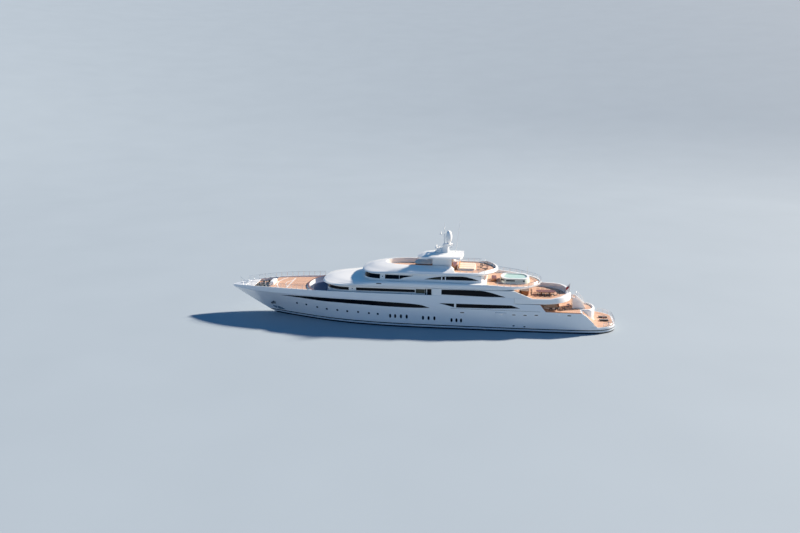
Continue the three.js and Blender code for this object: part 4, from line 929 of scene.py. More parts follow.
for side, sign in (("port", 1), ("stbd", -1)):
    cut(upper_aft, prism(aft_window, *sorted((sign * 6.73, sign * 8))))
    piece(f"upper_glass_{side}", prism(aft_window, *sorted((sign * 6.735, sign * 6.81))), DARK_GLASS,
          node=f"upper_window_{side}")
    wing = [(HOUSE_AFT, 7.504), (-24.5, 7.504), (HOUSE_AFT, 8.946)]
    piece(f"fashion_plate_{side}", prism(wing, *sorted((sign * 6.61, sign * 6.86))), WHITE_PAINT)

# After front of the upper saloon: fixed panes, a head track and two sliding leaves in slim frames
piece("saloon_front_wall", block(HOUSE_AFT + 0.01, -20.5, -6.5, 6.5, 6.504, 7.6), WHITE_PAINT)
piece("saloon_front_panes", both(block(HOUSE_AFT - 0.02, HOUSE_AFT + 0.05, 0.03, 2.58, 6.62, 8.58),
                                 block(HOUSE_AFT - 0.02, HOUSE_AFT + 0.05, 2.8, 5.6, 6.62, 8.58)), DARK_GLASS)
piece("saloon_head_track", block(-21, HOUSE_AFT + 0.1, -2.65, 2.65, 8.604, 8.76), STEEL)
for side, flip in SIDES:
    body = f"saloon_door_{side}"
    frame_bars = flip(block(-20.94, -20.86, 0.03, 1.3, 6.61, 8.6))
    leaf = piece(f"saloon_leaf_frame_{side}", frame_bars, STEEL, body, body)
    cut(leaf, flip(block(-22, -20, 0.11, 1.22, 6.75, 8.5)))
    piece(f"saloon_leaf_pane_{side}", flip(block(-20.92, -20.88, 0.1, 1.23, 6.74, 8.51)), DARK_GLASS, body)
    handle = tube([(-20.965, 0.07, 7.4), (-20.965, 0.07, 8.0)], 0.02, 8)
    piece(f"saloon_leaf_handle_{side}", flip(handle), STEEL, body)

# Bridge deck: the slab over the upper house with a drooping brow, a low broad bonnet ahead of the
# bridge and the terrace's bulwark aft
BRIDGE_DECK = 9.35
BRIDGE_WALL = 10.1
BRIDGE_SLAB = [
    (8.95, -25.7, 21.1, 6.75, 6.6, 7.3, 9.2, 2, 3),
    (9.15, -26.4, 21.0, 6.85, 6.85, 8.5, 9.6, 2, 2.6),
    (9.35, -26.6, 20.6, 6.88, 6.88, 9.5, 9.7, 2, 2.2),
    (10.4, -26.8, 20.0, 6.65, 6.65, 9.5, 9.8, 2, 2.2),
]
BONNET = [
    (9.25, -15, 20.7, 6.86, 6.86, 9.2, 0.1, 2, 2.3),
    (9.6, -15, 19.4, 6.86, 6.84, 10.5, 0.1, 2, 2),
    (9.85, -15, 17.4, 6.8, 6.78, 10.5, 0.1, 2, 2),
    (10.0, -15, 15.4, 6.68, 6.72, 10, 0.1, 2, 2),
    (BRIDGE_WALL, -15, 13.6, 6.5, 6.6, 9, 0.1, 2, 2),
]
BRIDGE_WELL = (-26.3, -14.9, 6.45, 6.45, 0.05, 9.5)
TERRACE_EDGE = [(-14.9, BRIDGE_WALL), (-17, 10), (-20.3, 9.76), (-23.5, 9.55), (-60, 9.55)]
bridge_deck = piece("bridge_deck_shell", tiers(refine(BRIDGE_SLAB, 4)), WHITE_PAINT, node="bridge_deck")
edge_top = [*TERRACE_EDGE, (-60, 20), (60, 20), (60, BRIDGE_DECK), (-14.9, BRIDGE_DECK)]
cut(bridge_deck, level(BRIDGE_WELL, BRIDGE_DECK, 20), through(edge_top))
piece("bonnet_shell", tiers(refine(BONNET, 6)), WHITE_PAINT)
brow = piece("brow_under_the_nose", tiers([(8.72, -1, 20.8, 6.6, 6.6, 7.2, 0.1, 2, 3),
                                           (8.96, -1, 21.1, 6.75, 6.75, 7.3, 0.1, 2, 3)]), WHITE_PAINT)
cut(brow, level((-FAR, 20.5, 6.4, 6.4, 7.4, 0.1, 2, 3), 8, 9),
    through([(-1.2, 8.95), (8, 8.71), (8, 8), (-1.2, 8)]))
piece("terrace_teak", level(BRIDGE_WELL, BRIDGE_DECK + SEAT, BRIDGE_DECK + PLANKED, 0.15), TEAK,
      node="terrace_planking")
# The vent slots in the bonnet's sides are dark glass sheets: painted shade in place of the openings behind
# them
vent = rounded(7.9, 9.66, 0.57, 0.09, 20, 5)
skin("bonnet_vent_shades", refine(BONNET, 6), vent, -0.012, 0.08, DARK_GLASS)

# Bridge deck house, its windows with their mullions, and a sill round the forward ones
BRIDGE_HOUSE = [
    (10.104, -14.9, 11.95, 5.65, 5.45, 5.6, 1.2, 2, 3),
    (11.496, -14.7, 11.6, 5.3, 5.2, 5.4, 1.2, 2, 3),
]
BRIDGE_FORE_WINDOW = [(30, 11.36), (7.5, 11.32), (0.5, 11.2), (2.7, 10.75), (3.6, 10.42), (30, 10.36)]
bridge_top = curve_through([(-1.6, 10.55), (-4, 11.05), (-6.5, 11.28), (-9.8, 11.36), (-11.9, 11.0),
                            (-13.4, 10.55)])
BRIDGE_AFT_WINDOW = [(x, bridge_top(x)) for x in steps(-1.6, -13.4, 24)]
bridge = piece("bridge_house_shell", tiers(BRIDGE_HOUSE), WHITE_PAINT, node="bridge_house")
glaze("bridge_glass_fore", bridge, BRIDGE_HOUSE, BRIDGE_FORE_WINDOW, "bridge_window_fore")
for side, across in (("port", (0, FAR)), ("stbd", (-FAR, 0))):
    glaze(f"bridge_glass_{side}", bridge, BRIDGE_HOUSE, BRIDGE_AFT_WINDOW, f"bridge_window_{side}", across)
for name, x0, x1, z0, z1, outer, inner, material in (
    ("bridge_mullion_broad", 6.76, 7.85, 10.38, 11.32, 0.02, 0.06, WHITE_PAINT),
    ("bridge_mullion_slim", 3.62, 3.7, 10.44, 11.25, 0.03, 0.06, WHITE_PAINT),
    ("bridge_posts_fore", -5.55, -5.3, 10.56, 11.14, 0.0, 0.06, WHITE_PAINT),
    ("bridge_posts_aft", -6.3, -6.1, 10.56, 11.22, 0.0, 0.06, WHITE_PAINT),
    ("bridge_pale_pane", -5.25, -2.9, 10.57, 10.85, 0.03, 0.06, SMOKED_GLASS),
):
    skin(name, BRIDGE_HOUSE, upright(x0, x1, z0, z1), outer, inner, material)
piece("bridge_side_lights", both(tube([(7.3, 5.3, 10.9), (7.3, 5.5, 10.9)], 0.1, 14)), DARK_GLASS)
sill = piece("bridge_sill", level((-2, 12.05, 5.75, 5.75, 5.6, 1.2, 2, 3), 10.104, 10.2), WHITE_PAINT)
cut(sill, level((-3, 11.9, 5.6, 5.6, 5.6, 1.2, 2, 3), 10, 11))

# Sun deck
# A slab over the bridge with broad round shoulders, two wells for seating and a coaming round the
# stern end, all of faired aluminium; scrubbed teak in the wells.
SUN_DECK = 11.95
SUN_ROWS = [
    (11.5, -16.4, 12.1, 5.6, 5.3, 6.3, 5.2, 2, 3),
    (11.62, -16.8, 12.3, 5.75, 5.6, 6.5, 5.4, 2, 3),
    (11.8, -17.1, 12.15, 5.72, 5.75, 6.8, 5.6, 2, 2.8),
    (12.0, -17.3, 11.8, 5.6, 5.65, 7.2, 5.6, 2, 2.5),
    (12.2, -17.3, 11.3, 5.35, 5.35, 7.5, 5.6, 2, 2.3),
    (12.65, -17.2, 10.0, 4.5, 4.5, 7.0, 5.5, 2, 2.1),
    (13.05, -17.1, 7.8, 3.4, 3.4, 6.0, 5.4, 2, 2),
]
SUN_TOP = [
    (60, 12.2), (11.9, 12.25), (10.5, 12.6), (8, 12.95), (5.5, 13.04), (-7.3, 13.04), (-8.2, 12.2),
    (-13.2, 12.2), (-14.2, 12.55), (-16, 12.55), (-17.3, 12.3), (-60, 12.2), (-60, 30), (60, 30),
]
SUN_WELLS = [(-8.1, 7.3, 3.1, 3.1, 5.6, 0.05), (-16.8, -7.9, 5.0, 5.0, 0.05, 5.2)]
sun_deck = piece("sun_deck_shell", tiers(refine(SUN_ROWS, 5)), WHITE_PAINT, node="sun_deck")
cut(sun_deck, *[level(row, SUN_DECK, 20) for row in SUN_WELLS], through(SUN_TOP))
SUN_FLOOR = SUN_DECK + PLANKED
teak_rows = [level(row, SUN_DECK + SEAT, SUN_FLOOR, 0.15) for row in SUN_WELLS]
piece("sun_deck_teak", together(*teak_rows, block(-8.04, -7.96, -2.9, 2.9, SUN_DECK + SEAT, SUN_FLOOR)), TEAK,
      node="sun_deck_planking")
coaming_rail = guard_rail([(x, 5.12, 12.19) for x in steps(-9.4, -14.4, 6)], 0.62, 1.2, 0.03, 0.026, (0.5,))
piece("sun_deck_coaming_rails", both(coaming_rail), STEEL)

# Hardtop: a crowned roof of moulded glass fibre, on two side blocks
ROOF_SECTION = [
    (-3.5, 14.7), (-3.3, 14.95), (-2.5, 15.15), (-1.3, 15.32), (0, 15.4), (1.3, 15.32), (2.5, 15.15),
    (3.3, 14.95), (3.5, 14.7), (3.2, 14.55), (1.6, 14.8), (0, 14.9), (-1.6, 14.8), (-3.2, 14.55),
]
ROOF_RISE = curve_through([(-9.8, 0), (-4, 0), (-1.5, -0.22), (0.3, -0.9)])
crown = curve_through(ROOF_SECTION[:9])
soffit = curve_through(ROOF_SECTION[9:])
roof_section = [(y, crown(y)) for y in steps(-3.5, 3.5, 28)] + [(y, soffit(y)) for y in steps(3.2, -3.2, 16)]


def roof(lift=0.0):
    return loft([[(x, y, z + ROOF_RISE(x) + lift) for y, z in roof_section] for x in steps(-9.8, 0.3, 24)])


hardtop = piece("hardtop_shell", roof(), WHITE_PAINT, node="hardtop")
cut(hardtop, level((-9.8, 0.3, 3.6, 3.6, 4.4, 1.0, 2.2, 2.2), 12, 18), operation="INTERSECT")
hollow = [(y * 0.88, z - 0.12) for y, z in roof_section[1:28]]
hollow += [(y * 0.88, z + 0.1) for y, z in roof_section[29:]]
cut(hardtop, loft([[(x, y, z) for y, z in hollow] for x in (-10, -9.4)]))
piece("hardtop_side_blocks", both(prism(upright(-7.3, -3.2, 12.012, 14.8), 2.4, 2.85)), WHITE_PAINT)
# Two grey strips along the roof's top: painted shade where the edge of a raised panel would throw it; no
# panel is built
shade_strips = [loft([[(x, y + w, crown(y + w) + ROOF_RISE(x) + h)
                 for w, h in ((-0.03, -0.02), (0.03, -0.02), (0.03, 0.006), (-0.03, 0.006))]
                for x in steps(-1.6, -4.6, 8)]) for y in (-2.6, 2.6)]
ROOF_SHADE_LINE = speckled("grey_painted_shade_line", "#8d8f90", "#77797b", 0.6, 80, 0.0003)
piece("hardtop_shade_lines", together(*shade_strips), ROOF_SHADE_LINE)

# Mast
# A faired aluminium pod on the hardtop with an egg-shaped radome behind it, two radar scanners on
# brackets ahead of it, a topmast with a yard, small domes, lights and horns, and a whip antenna.
MAST_ROWS = [
    (15.2, -6.6, -4.6, 0.85, 0.85, 0.5, 0.5),
    (15.6, -6.6, -4.7, 0.76, 0.76, 0.5, 0.5),
    (16.5, -6.5, -5.0, 0.6, 0.6, 0.4, 0.4),
    (16.95, -7.2, -5.1, 0.65, 0.65, 0.5, 0.5),
    (17.25, -7.4, -5.2, 0.75, 0.75, 0.6, 0.6),
]
SPUR_ROWS = [(15.2, -6.5, -3.2, 0.6, 0.6, 0.5, 0.5), (16.2, -6.4, -4.3, 0.45, 0.45, 0.4, 0.4)]
mast = piece("mast_pod", tiers(refine(MAST_ROWS, 4)), WHITE_PAINT, node="mast")
spur = piece("mast_spur", tiers(refine(SPUR_ROWS, 4)), WHITE_PAINT)
cut(mast, roof(SEAT))
cut(spur, roof(SEAT))
piece("topmast_and_arms", together(
    tube([(-5.5, 0, 16.2), (-5.5, 0, 19.4), (-5.5, 0, 21.7)], [0.1, 0.085, 0.05], 14),
    tube([(-5.5, -1.0, 20.52), (-5.5, 1.0, 20.52)], 0.05, 10),
    tube([(-5.6, 0, 16.22), (-3.55, 0, 16.22)], 0.075, 10),
    tube([(-5.3, 0, 15.75), (-3.7, 0, 16.2)], 0.05, 8),
    block(-4.05, -3.5, -0.35, 0.35, 16.15, 16.3),
    tube([(-5.5, 0, 19.26), (-4.6, 0, 19.26)], 0.055, 10),
    block(-4.95, -4.5, -0.2, 0.2, 19.2, 19.32),
    tube([(-5.5, 0, 18.7), (-4.75, 0, 19.2)], 0.03, 8),
    *[turned([(0.02, 20.55), (0.09, 20.6), (0.1, 20.72), (0.06, 20.8), (0.001, 20.83)], -5.5, y, 14)
      for y in (-0.9, 0.9)],
), WHITE_PAINT)
DOME = [(1.43 * sin(t), 0.75 * cos(t)) for t in steps(-pi / 2, pi / 2, 24)]
egg = turned([(max(r, 0.001), 18.75 + z) for z, r in DOME], -6.45, 0, 40)
foot = turned([(0.42, 17.254), (0.42, 17.6), (0.5, 17.9)], -6.45, 0, 32)
piece("radome_egg", together(egg, foot), WHITE_PAINT, node="radome")


def small_dome(x, y, z, r):
    ball = [(max(r * cos(t), 0.001), z + r * (1.2 + sin(t))) for t in steps(-0.9, pi / 2, 9)]
    return turned([(r * 0.5, z), (r * 0.5, z + r * 0.6), *ball], x, y, 20)


piece("small_domes_and_lights", together(
    small_dome(-4.35, -0.55, 16.08, 0.15),
    small_dome(-5.65, 0.45, 17.24, 0.14),
    small_dome(-3.7, 0.5, 15.3, 0.2),
    tube([(-4.35, -0.55, 15.94), (-4.35, -0.55, 16.12)], 0.05),
    tube([(-4.35, -0.6, 15.96), (-4.35, 0.1, 15.96)], 0.04),
), WHITE_PAINT)
horn = tube([(-6.9, 0.25, 17.0), (-7.3, 0.25, 16.98), (-7.55, 0.25, 16.97)], [0.04, 0.06, 0.16], 16)
piece("horns", together(horn, moved(horn, Matrix.Translation((0.35, 0.35, -0.42)))), STEEL)
for name, x, z, length in (("low", -3.8, 16.3, 2.2), ("high", -4.7, 19.32, 1.2)):
    end = length / 2
    array = loft([[(x + 0.12 * w * cos(t), y, z + 0.31 + 0.11 * w * sin(t))
                   for t in steps(0, 2 * pi, 16)[:-1]]
                  for y, w in ((-end, 0.5), (-end + 0.06, 1), (end - 0.06, 1), (end, 0.5))])
    motor = turned([(0.14, z + SEAT), (0.14, z + 0.16), (0.1, z + 0.22), (0.06, z + 0.3)], x, 0, 20)
    node = f"radar_scanner_{name}"
    piece(node + "_array", together(array, motor), WHITE_PAINT, node, node)
piece("whip_antenna_rod", tube([(-8.05, 0, 15.41), (-8.1, 0, 15.8), (-8.45, 0, 18.8), (-8.85, 0, 22.2)],
                               [0.07, 0.06, 0.04, 0.03], 12), WHITE_PAINT, node="whip_antenna")

# Aft terrace of the upper deck, with the stairs' gap in its coaming
TERRACE_ROWS = [
    (6.204, -32.3, HOUSE_AFT, 6.5, 6.5, 0.05, 6.6, 2.3, 2),
    (6.45, -33.1, HOUSE_AFT, 6.82, 6.82, 0.05, 7.0, 2.3, 2),
    (7.45, -33.0, HOUSE_AFT, 6.8, 6.8, 0.05, 7.0, 2.3, 2),
    (7.75, -32.8, HOUSE_AFT, 6.7, 6.7, 0.05, 6.9, 2.3, 2),
]
TERRACE_WELL = (-32.2, HOUSE_AFT, 6.55, 6.55, 0.05, 6.6, 2.3, 2)
terrace = piece("upper_terrace_shell", tiers(refine(TERRACE_ROWS, 4)), WHITE_PAINT, node="upper_terrace")
cap_line = [(0, 7.5), (-21, 7.5), (-24, 7.45), (-28.5, 7.45), (-31, 7.75), (-60, 7.75), (-60, 9), (0, 9)]
cut(
    terrace,
    level(TERRACE_WELL, UPPER_DECK, 9),
    through(cap_line),
    block(-60, -31.5, -1.5, 1.5, UPPER_DECK, 9),
)
for corner in terrace.data.vertices:  # its side is faired into the hull's at its fore end
    x, y, z = corner.co / SHIP
    if abs(y) > 6.62 or (z < 6.49 and abs(y) > 6):
        blend = max(0, min(1, (x + 26.2) / 5.4))
        corner.co.y += copysign(blend * (hull_half(HOUSE_AFT, z) - abs(y)), y) * SHIP
UPPER_FLOOR = UPPER_DECK + PLANKED
piece("upper_terrace_teak", level(TERRACE_WELL, UPPER_DECK + SEAT, UPPER_FLOOR, 0.15), TEAK,
      node="upper_terrace_planking")

# Stern stairs
# A moulded casing with a landing, a flight down each side of it to the platform and one up to the
# terrace between two cheeks; teak treads let into every step.
LANDING = 4.02
CASING_FORE = -35.304
SIDE_TREAD = 0.33
UPPER_TREAD = 0.24
UPPER_HEAD = 6.3  # top of the flight between the cheeks
side_flight = [(CASING_FORE, PLATFORM + SEAT)]
treads = []
for i in range(9):
    top = PLATFORM + (MAIN_DECK - PLATFORM) * (9 - i) / 9
    x = CASING_FORE - SIDE_TREAD * i
    side_flight += [(x, top), (x - SIDE_TREAD, top)]
    treads.append(both(block(x - SIDE_TREAD + 0.02, x - 0.03, 1.5 if i else 3.0, 5.9, top, top + 0.02)))
side_flight.append((CASING_FORE - SIDE_TREAD * 9, PLATFORM + SEAT))
cheek_foot = [(-35.31, 3.9), (-35.31, 4.016), (-33.35, 4.016)]
upper_flight = [(-33.35, UPPER_HEAD)]
drop = (UPPER_HEAD - LANDING) / 10
for i in range(10):
    top = UPPER_HEAD - drop * i
    x = -33.5 - UPPER_TREAD * i
    upper_flight += [(x - UPPER_TREAD, top), (x - UPPER_TREAD, top - drop)]
    treads.append(block(x - UPPER_TREAD + 0.02, x, -1.1, 1.1, top, top + 0.02))
cheek = [*cheek_foot, (-33.35, 6.42), (-34.1, 6.42), (-36.0, 4.5), (-36.2, 3.9)]
casing_rows = [
    (PLATFORM + SEAT, -38.2, CASING_FORE, 2.9, 2.9, 0.05, 1.6),
    (3.9, -38.2, CASING_FORE, 2.82, 2.82, 0.05, 1.6),
    (4.12, -38.16, CASING_FORE, 2.77, 2.77, 0.05, 1.6),
    (4.25, -38.07, CASING_FORE, 2.68, 2.68, 0.05, 1.6),
    (4.3, -37.95, CASING_FORE, 2.56, 2.56, 0.05, 1.6),
]
casing = piece("stair_casing", tiers(refine(casing_rows, 3)), WHITE_PAINT, node="stern_stairs")
cut(casing, level((-37.75, -34, 2.45, 2.45, 0.05, 1.6), LANDING, 9))
piece("stair_flights", together(
    *[prism(side_flight, y0, y1) for y0, y1 in ((1.4, 6.0), (-6.0, -1.4))],
    prism([*cheek_foot, *upper_flight, (-35.9, 3.9)], -1.2, 1.2),
    prism(cheek, 1.15, 1.35), prism(cheek, -1.35, -1.15),
), WHITE_PAINT)
treads.append(level((-37.6, -35.6, 2.3, 2.3, 0.05, 1.4), LANDING - 0.02, LANDING + 0.015))
piece("stair_treads", together(*treads), TEAK)
for side, foot in (("port", 1.25), ("stbd", -1.25)):
    path = [(x, foot, z) for x, z in ((-34.2, 6.42), (-34.2, 7.2), (-35.0, 6.5), (-36.0, 5.4), (-36.05, 4.5))]
    piece(f"stair_handrail_{side}", tube(path, 0.03, 10), STEEL)

# Rails of the bridge terrace and the stern, and the awning pole on the terrace's starboard side
terrace_edge = straight_through(TERRACE_EDGE)
around = [(x, y) for x, y in plan(-26.55, 0, 6.64, 6.64, 0.05, 9.7) if x < -17.2]
terrace_foot = [(x, y, terrace_edge(x) - 0.01) for x, y in [(-17.2, 6.64), *around, (-17.2, -6.64)]]
piece("terrace_guard_rail", guard_rail(terrace_foot, 0.75, 1.4), STEEL, node="terrace_rail")
stern_port = [(x, hull_half(x, PLATFORM) - 0.17, PLATFORM) for x in (-39.6, -40.3, -41, -41.6, -42, -42.25)]
stern_foot = [*stern_port, (-42.3, 0, PLATFORM), *[(x, -y, z) for x, y, z in stern_port[::-1]]]
piece("stern_guard_rail", guard_rail(stern_foot, 0.9, 1.3), STEEL, node="stern_rail")
piece("awning_pole", tube([(-23.75, -4.58, 9.54), (-23.75, -4.58, 11.4)], [0.05, 0.035], 12), STEEL)

# Pool
# A moulded basin on the terrace with a rounded coping, lined with small pale green tiles, with slot
# windows along its sides; still water a hand below the rim.
POOL_ROWS = [
    (9.412, -24.2, -17.7, 2.7, 2.7, 1.6, 1.6),
    (10.3, -24.05, -17.85, 2.55, 2.55, 1.5, 1.5),
    (10.42, -24.02, -17.88, 2.52, 2.52, 1.5, 1.5),
    (10.45, -23.95, -17.95, 2.45, 2.45, 1.5, 1.5),
]


def tiled(name, pale, deep, side):
    """Glazed mosaic: small square tiles, each of its own tone, with matt grout between them."""
    material, tree, shader, place = finish_of(name, "white_paint", pale, 0.15, IOR=1.55, Coat_Weight=0.4)
    scaled = add(tree, "Mapping", {"Vector": place, "Scale": (1 / side,) * 3}).outputs["Vector"]
    cells = add(tree, "TexVoronoi", {"Vector": scaled, "Scale": 1.0, "Randomness": 0.0},
                distance="CHEBYCHEV")
    tone = add(tree, "SeparateColor", {"Color": cells.outputs["Color"]}).outputs["Red"]
    lay(tree, shader, tone, pale, deep, cells.outputs["Distance"], 0.3, 0.0005, invert=True)
    return material


POOL_TILE = tiled("pale_green_glass_mosaic", "#dde5da", "#c3d3c8", 0.02)
POOL_RIM = (-24, -17.9, 2.5, 2.5, 1.5, 1.5)
pool = piece("pool_basin", tiers(POOL_ROWS), POOL_TILE, node="pool")
cut(pool, level(POOL_RIM, 9.75, 12, 0.5))
coping = piece("pool_coping", level(POOL_RIM, 10.452, 10.49, -0.02), WHITE_PAINT)
cut(coping, level(POOL_RIM, 10, 12, 0.48))
WATER, tree, shader, place = finish_of("still_pool_water", "pool_surface", "#c4dcd2", 0.04, IOR=1.333,
                                       Coat_Weight=0.5)
swell = add(tree, "TexNoise", {"Vector": place, "Scale": 22.0, "Detail": 3}).outputs["Fac"]
lay(tree, shader, swell, "#cfe3da", "#a5cbc2", swell, 0.35, 0.002)
piece("pool_surface_water", level(POOL_RIM, 9.754, 10.3, 0.504), WATER,
      node="pool_water")
for k, (x0, x1) in enumerate(((-18.7, -17.95), (-20.9, -19.05), (-23.0, -22.6))):
    skin(f"pool_slot_window_{k}", POOL_ROWS[:2], upright(x0, x1, 9.95, 10.2), -0.012, 0.05, DARK_GLASS)
piece("terrace_cabinet", soft_box(-17.0, -15.9, -1.4, 1.4, 9.412, 10.1, 0.05), VARNISH)

# Furniture
# Bars and tables of varnished teak with pale stone tops; slim dark frames of coated tube for the
# chairs; deep seats on painted plinths with loose cushions in woven outdoor cloth.
STONE = speckled("pale_polished_stone", "#dcd8d0", "#bdb6aa", 0.2, 40, 0.0001, Coat_Weight=0.3)
FOOT = 0.008  # clearance under a piece of furniture
FRAME = speckled("dark_bronze_powder_coat", "#2b2622", "#1b1714", 0.45, 140, 0.0003)
bar_front = tiers([(SUN_FLOOR + FOOT, -3.0, 0.8, 1.9, 1.9, 1.2, 0.3),
                   (SUN_FLOOR + 0.97, -3.0, 0.85, 1.95, 1.95, 1.25, 0.3)])
piece("sun_deck_bar_front", bar_front, VARNISH, node="sun_deck_bar")
piece("sun_deck_bar_top", level((-3.0, 0.9, 2.0, 2.0, 1.3, 0.3), SUN_FLOOR + 0.97, SUN_FLOOR + 1.058),
      STONE)
piece("sun_deck_sideboard", soft_box(-8.3, -7.2, -1.9, 1.9, SUN_FLOOR, SUN_FLOOR + 0.75, 0.05), VARNISH)
bar_front = tiers([(UPPER_FLOOR + h, -24.1, -22.0, half, half, 0.5, 0.5, 2.6, 2.6)
                   for h, half in ((FOOT, 1.5), (1.05, 1.6))])
piece("upper_bar_front", bar_front, VARNISH, node="upper_bar")
bar_top = level((-24.1, -22.0, 1.6, 1.6, 0.5, 0.5, 2.6, 2.6), UPPER_FLOOR + 1.05, UPPER_FLOOR + 1.158)
piece("upper_bar_top", bar_top, STONE)
table = [level((-29.8, -25.6, 0.95, 0.95, 0.9, 0.9), UPPER_FLOOR + 0.69, UPPER_FLOOR + 0.768)]
table += [turned([(0.42, UPPER_FLOOR + FOOT), (0.4, UPPER_FLOOR + 0.06), (0.14, UPPER_FLOOR + 0.12),
                  (0.12, UPPER_FLOOR + 0.6), (0.3, UPPER_FLOOR + 0.7)], x, 0) for x in (-26.8, -28.6)]
piece("upper_table_teak", together(*table), VARNISH, node="upper_table")


def stool(x, y, z):
    profile = ((0.22, 0), (0.22, 0.03), (0.04, 0.06), (0.04, 0.68), (0.2, 0.72), (0.2, 0.8), (0.14, 0.83))
    return turned([(r, z + h) for r, h in profile], x, y, 18)


piece("bar_stools", together(*[stool(-3.45, y, SUN_FLOOR) for y in (-1.3, -0.45, 0.45, 1.3)],
                             *[stool(-24.6, y, UPPER_FLOOR) for y in (-1.1, 0, 1.1)]), FRAME)


def chair_frame(place):
    """Four legs, a seat ring, a curved back and arms, of round tube."""
    legs = [tube([(x, y, 0), (x * 0.92, y * 0.92, 0.42)], 0.025, 6)
            for x in (-0.24, 0.24) for y in (-0.26, 0.26)]
    ring = [(0.27 * cos(t), 0.28 * sin(t), 0.42) for t in steps(0, 2 * pi, 16)]
    back = [(-0.27 + 0.1 * cos(t) - 0.1, 0.28 * sin(t), 0.82) for t in steps(-1.5, 1.5, 8)]
    posts = [tube([(-0.2, y, 0.42), (-0.32, y * 1.05, 0.82)], 0.022, 6) for y in (-0.25, 0, 0.25)]
    arms = [tube([(-0.28, y, 0.62), (0.2, y, 0.64), (0.24, y, 0.42)], 0.022, 6) for y in (-0.28, 0.28)]
    return moved(together(tube(ring, 0.025, 6), tube(back, 0.03, 6), *legs, *posts, *arms), place)


def stand(x, y, z, turn):
    return Matrix.Translation((x, y, z)) @ Matrix.Rotation(radians(turn), 4, "Z")


CHAIRS = [stand(x, s * 1.4, UPPER_FLOOR, -s * 90) for x in (-26.1, -27.1, -28.1, -29.1) for s in (1, -1)]
CHAIRS += [stand(*spot) for spot in (
    (-30.35, 0, UPPER_FLOOR, 0), (-13.6, 1.2, SUN_FLOOR, 0), (-13.6, -1.2, SUN_FLOOR, 0),
    (-14.6, 2.6, SUN_FLOOR, -50), (-14.6, -2.6, SUN_FLOOR, 50))]
CHAIRS += [stand(x, s * y, MAIN_DECK + PLANKED, s * turn) for s in (1, -1)
           for x, y, turn in ((-28.7, 3.35, -90), (-29.9, 3.35, -90), (-31.4, 2.8, 0))]
piece("chair_frames", together(*[chair_frame(place) for place in CHAIRS]), FRAME)
table = ((0.3, 0), (0.3, 0.03), (0.05, 0.06), (0.05, 0.44), (0.36, 0.47), (0.36, 0.52))
side_tables = [turned([(r, z + h) for r, h in table], x, 0) for x, z in (
    (-14.9, SUN_FLOOR), (-32.6, MAIN_DECK + PLANKED), (-40.3, PLATFORM + PLANKED))]
piece("side_tables", together(*side_tables), VARNISH)

# Plinths of the two big sofas, and the frames of the sunbeds on the platform
MAIN_FLOOR = MAIN_DECK + PLANKED + FOOT
for deck, aft, fore, back, half, base, floor in (
    ("sun", -12.4, -8.6, -8.72, 2.6, SUN_FLOOR + FOOT, SUN_FLOOR),
    ("main", -30.6, -27.2, -30.6, 2.4, MAIN_FLOOR, MAIN_FLOOR),
):
    piece(f"{deck}_deck_sofa_plinth", together(
        soft_box(aft, fore, -half, half, base, floor + 0.24, 0.04),
        soft_box(back, back + 0.12, -half, half, floor + 0.2, floor + 0.8, 0.03),
    ), WHITE_PAINT, node=f"{deck}_deck_sofa")
sunbeds = [soft_box(-41.2, -39.3, y - 0.36, y + 0.36, PLATFORM + 0.2, PLATFORM + 0.28, 0.03)
           for y in (-1.1, 1.1)]
sunbeds += [tube([(x, y + dy, PLATFORM + 0.05), (x, y + dy, PLATFORM + 0.22)], 0.03, 6)
            for x in (-41.0, -39.5) for y in (-1.1, 1.1) for dy in (-0.28, 0.28)]
piece("sunbed_frames", together(*sunbeds), FRAME)

# Cushions
# Foam in sewn covers of woven outdoor cloth. Each cover is blown up from a slightly smaller block by a
# cloth simulation, then its sewn channels are pressed in; like cushions share one simulated shape.
THREAD = 0.0022  # real threads are 0.5 mm apart; drawn coarser, or the weave would not show


def woven(name, pale, deep):
    """A plain weave: threads over and under in two directions, soft, with a dull sheen at the edges."""
    material, tree, shader, place = finish_of(name, "cushion_fabric", pale, 0.9, IOR=1.45, Sheen_Weight=0.25)
    over, under = [add(tree, "TexWave", {"Vector": place, "Scale": 0.314 / THREAD,
                                         "Distortion": 0.6}, bands_direction=axis).outputs["Fac"]
                   for axis in ("X", "Y")]
    cloth = add(tree, "Math", {0: over, 1: under}, operation="MULTIPLY").outputs[0]
    fade = add(tree, "TexNoise", {"Vector": place, "Scale": 14.0, "Detail": 4}).outputs["Fac"]
    tone = add(tree, "Math", {0: cloth, 1: fade}, operation="MULTIPLY").outputs[0]
    lay(tree, shader, tone, pale, deep, cloth, 0.4, 0.0004)
    return material


ORANGE_CLOTH = woven("woven_outdoor_cloth_terracotta", "#cf8a4d", "#9c5a2b")
SAND_CLOTH = woven("woven_outdoor_cloth_sand", "#d2c6b6", "#ab9d8b")
SLATE_CLOTH = woven("woven_outdoor_cloth_slate", "#4a4f57", "#2d3138")


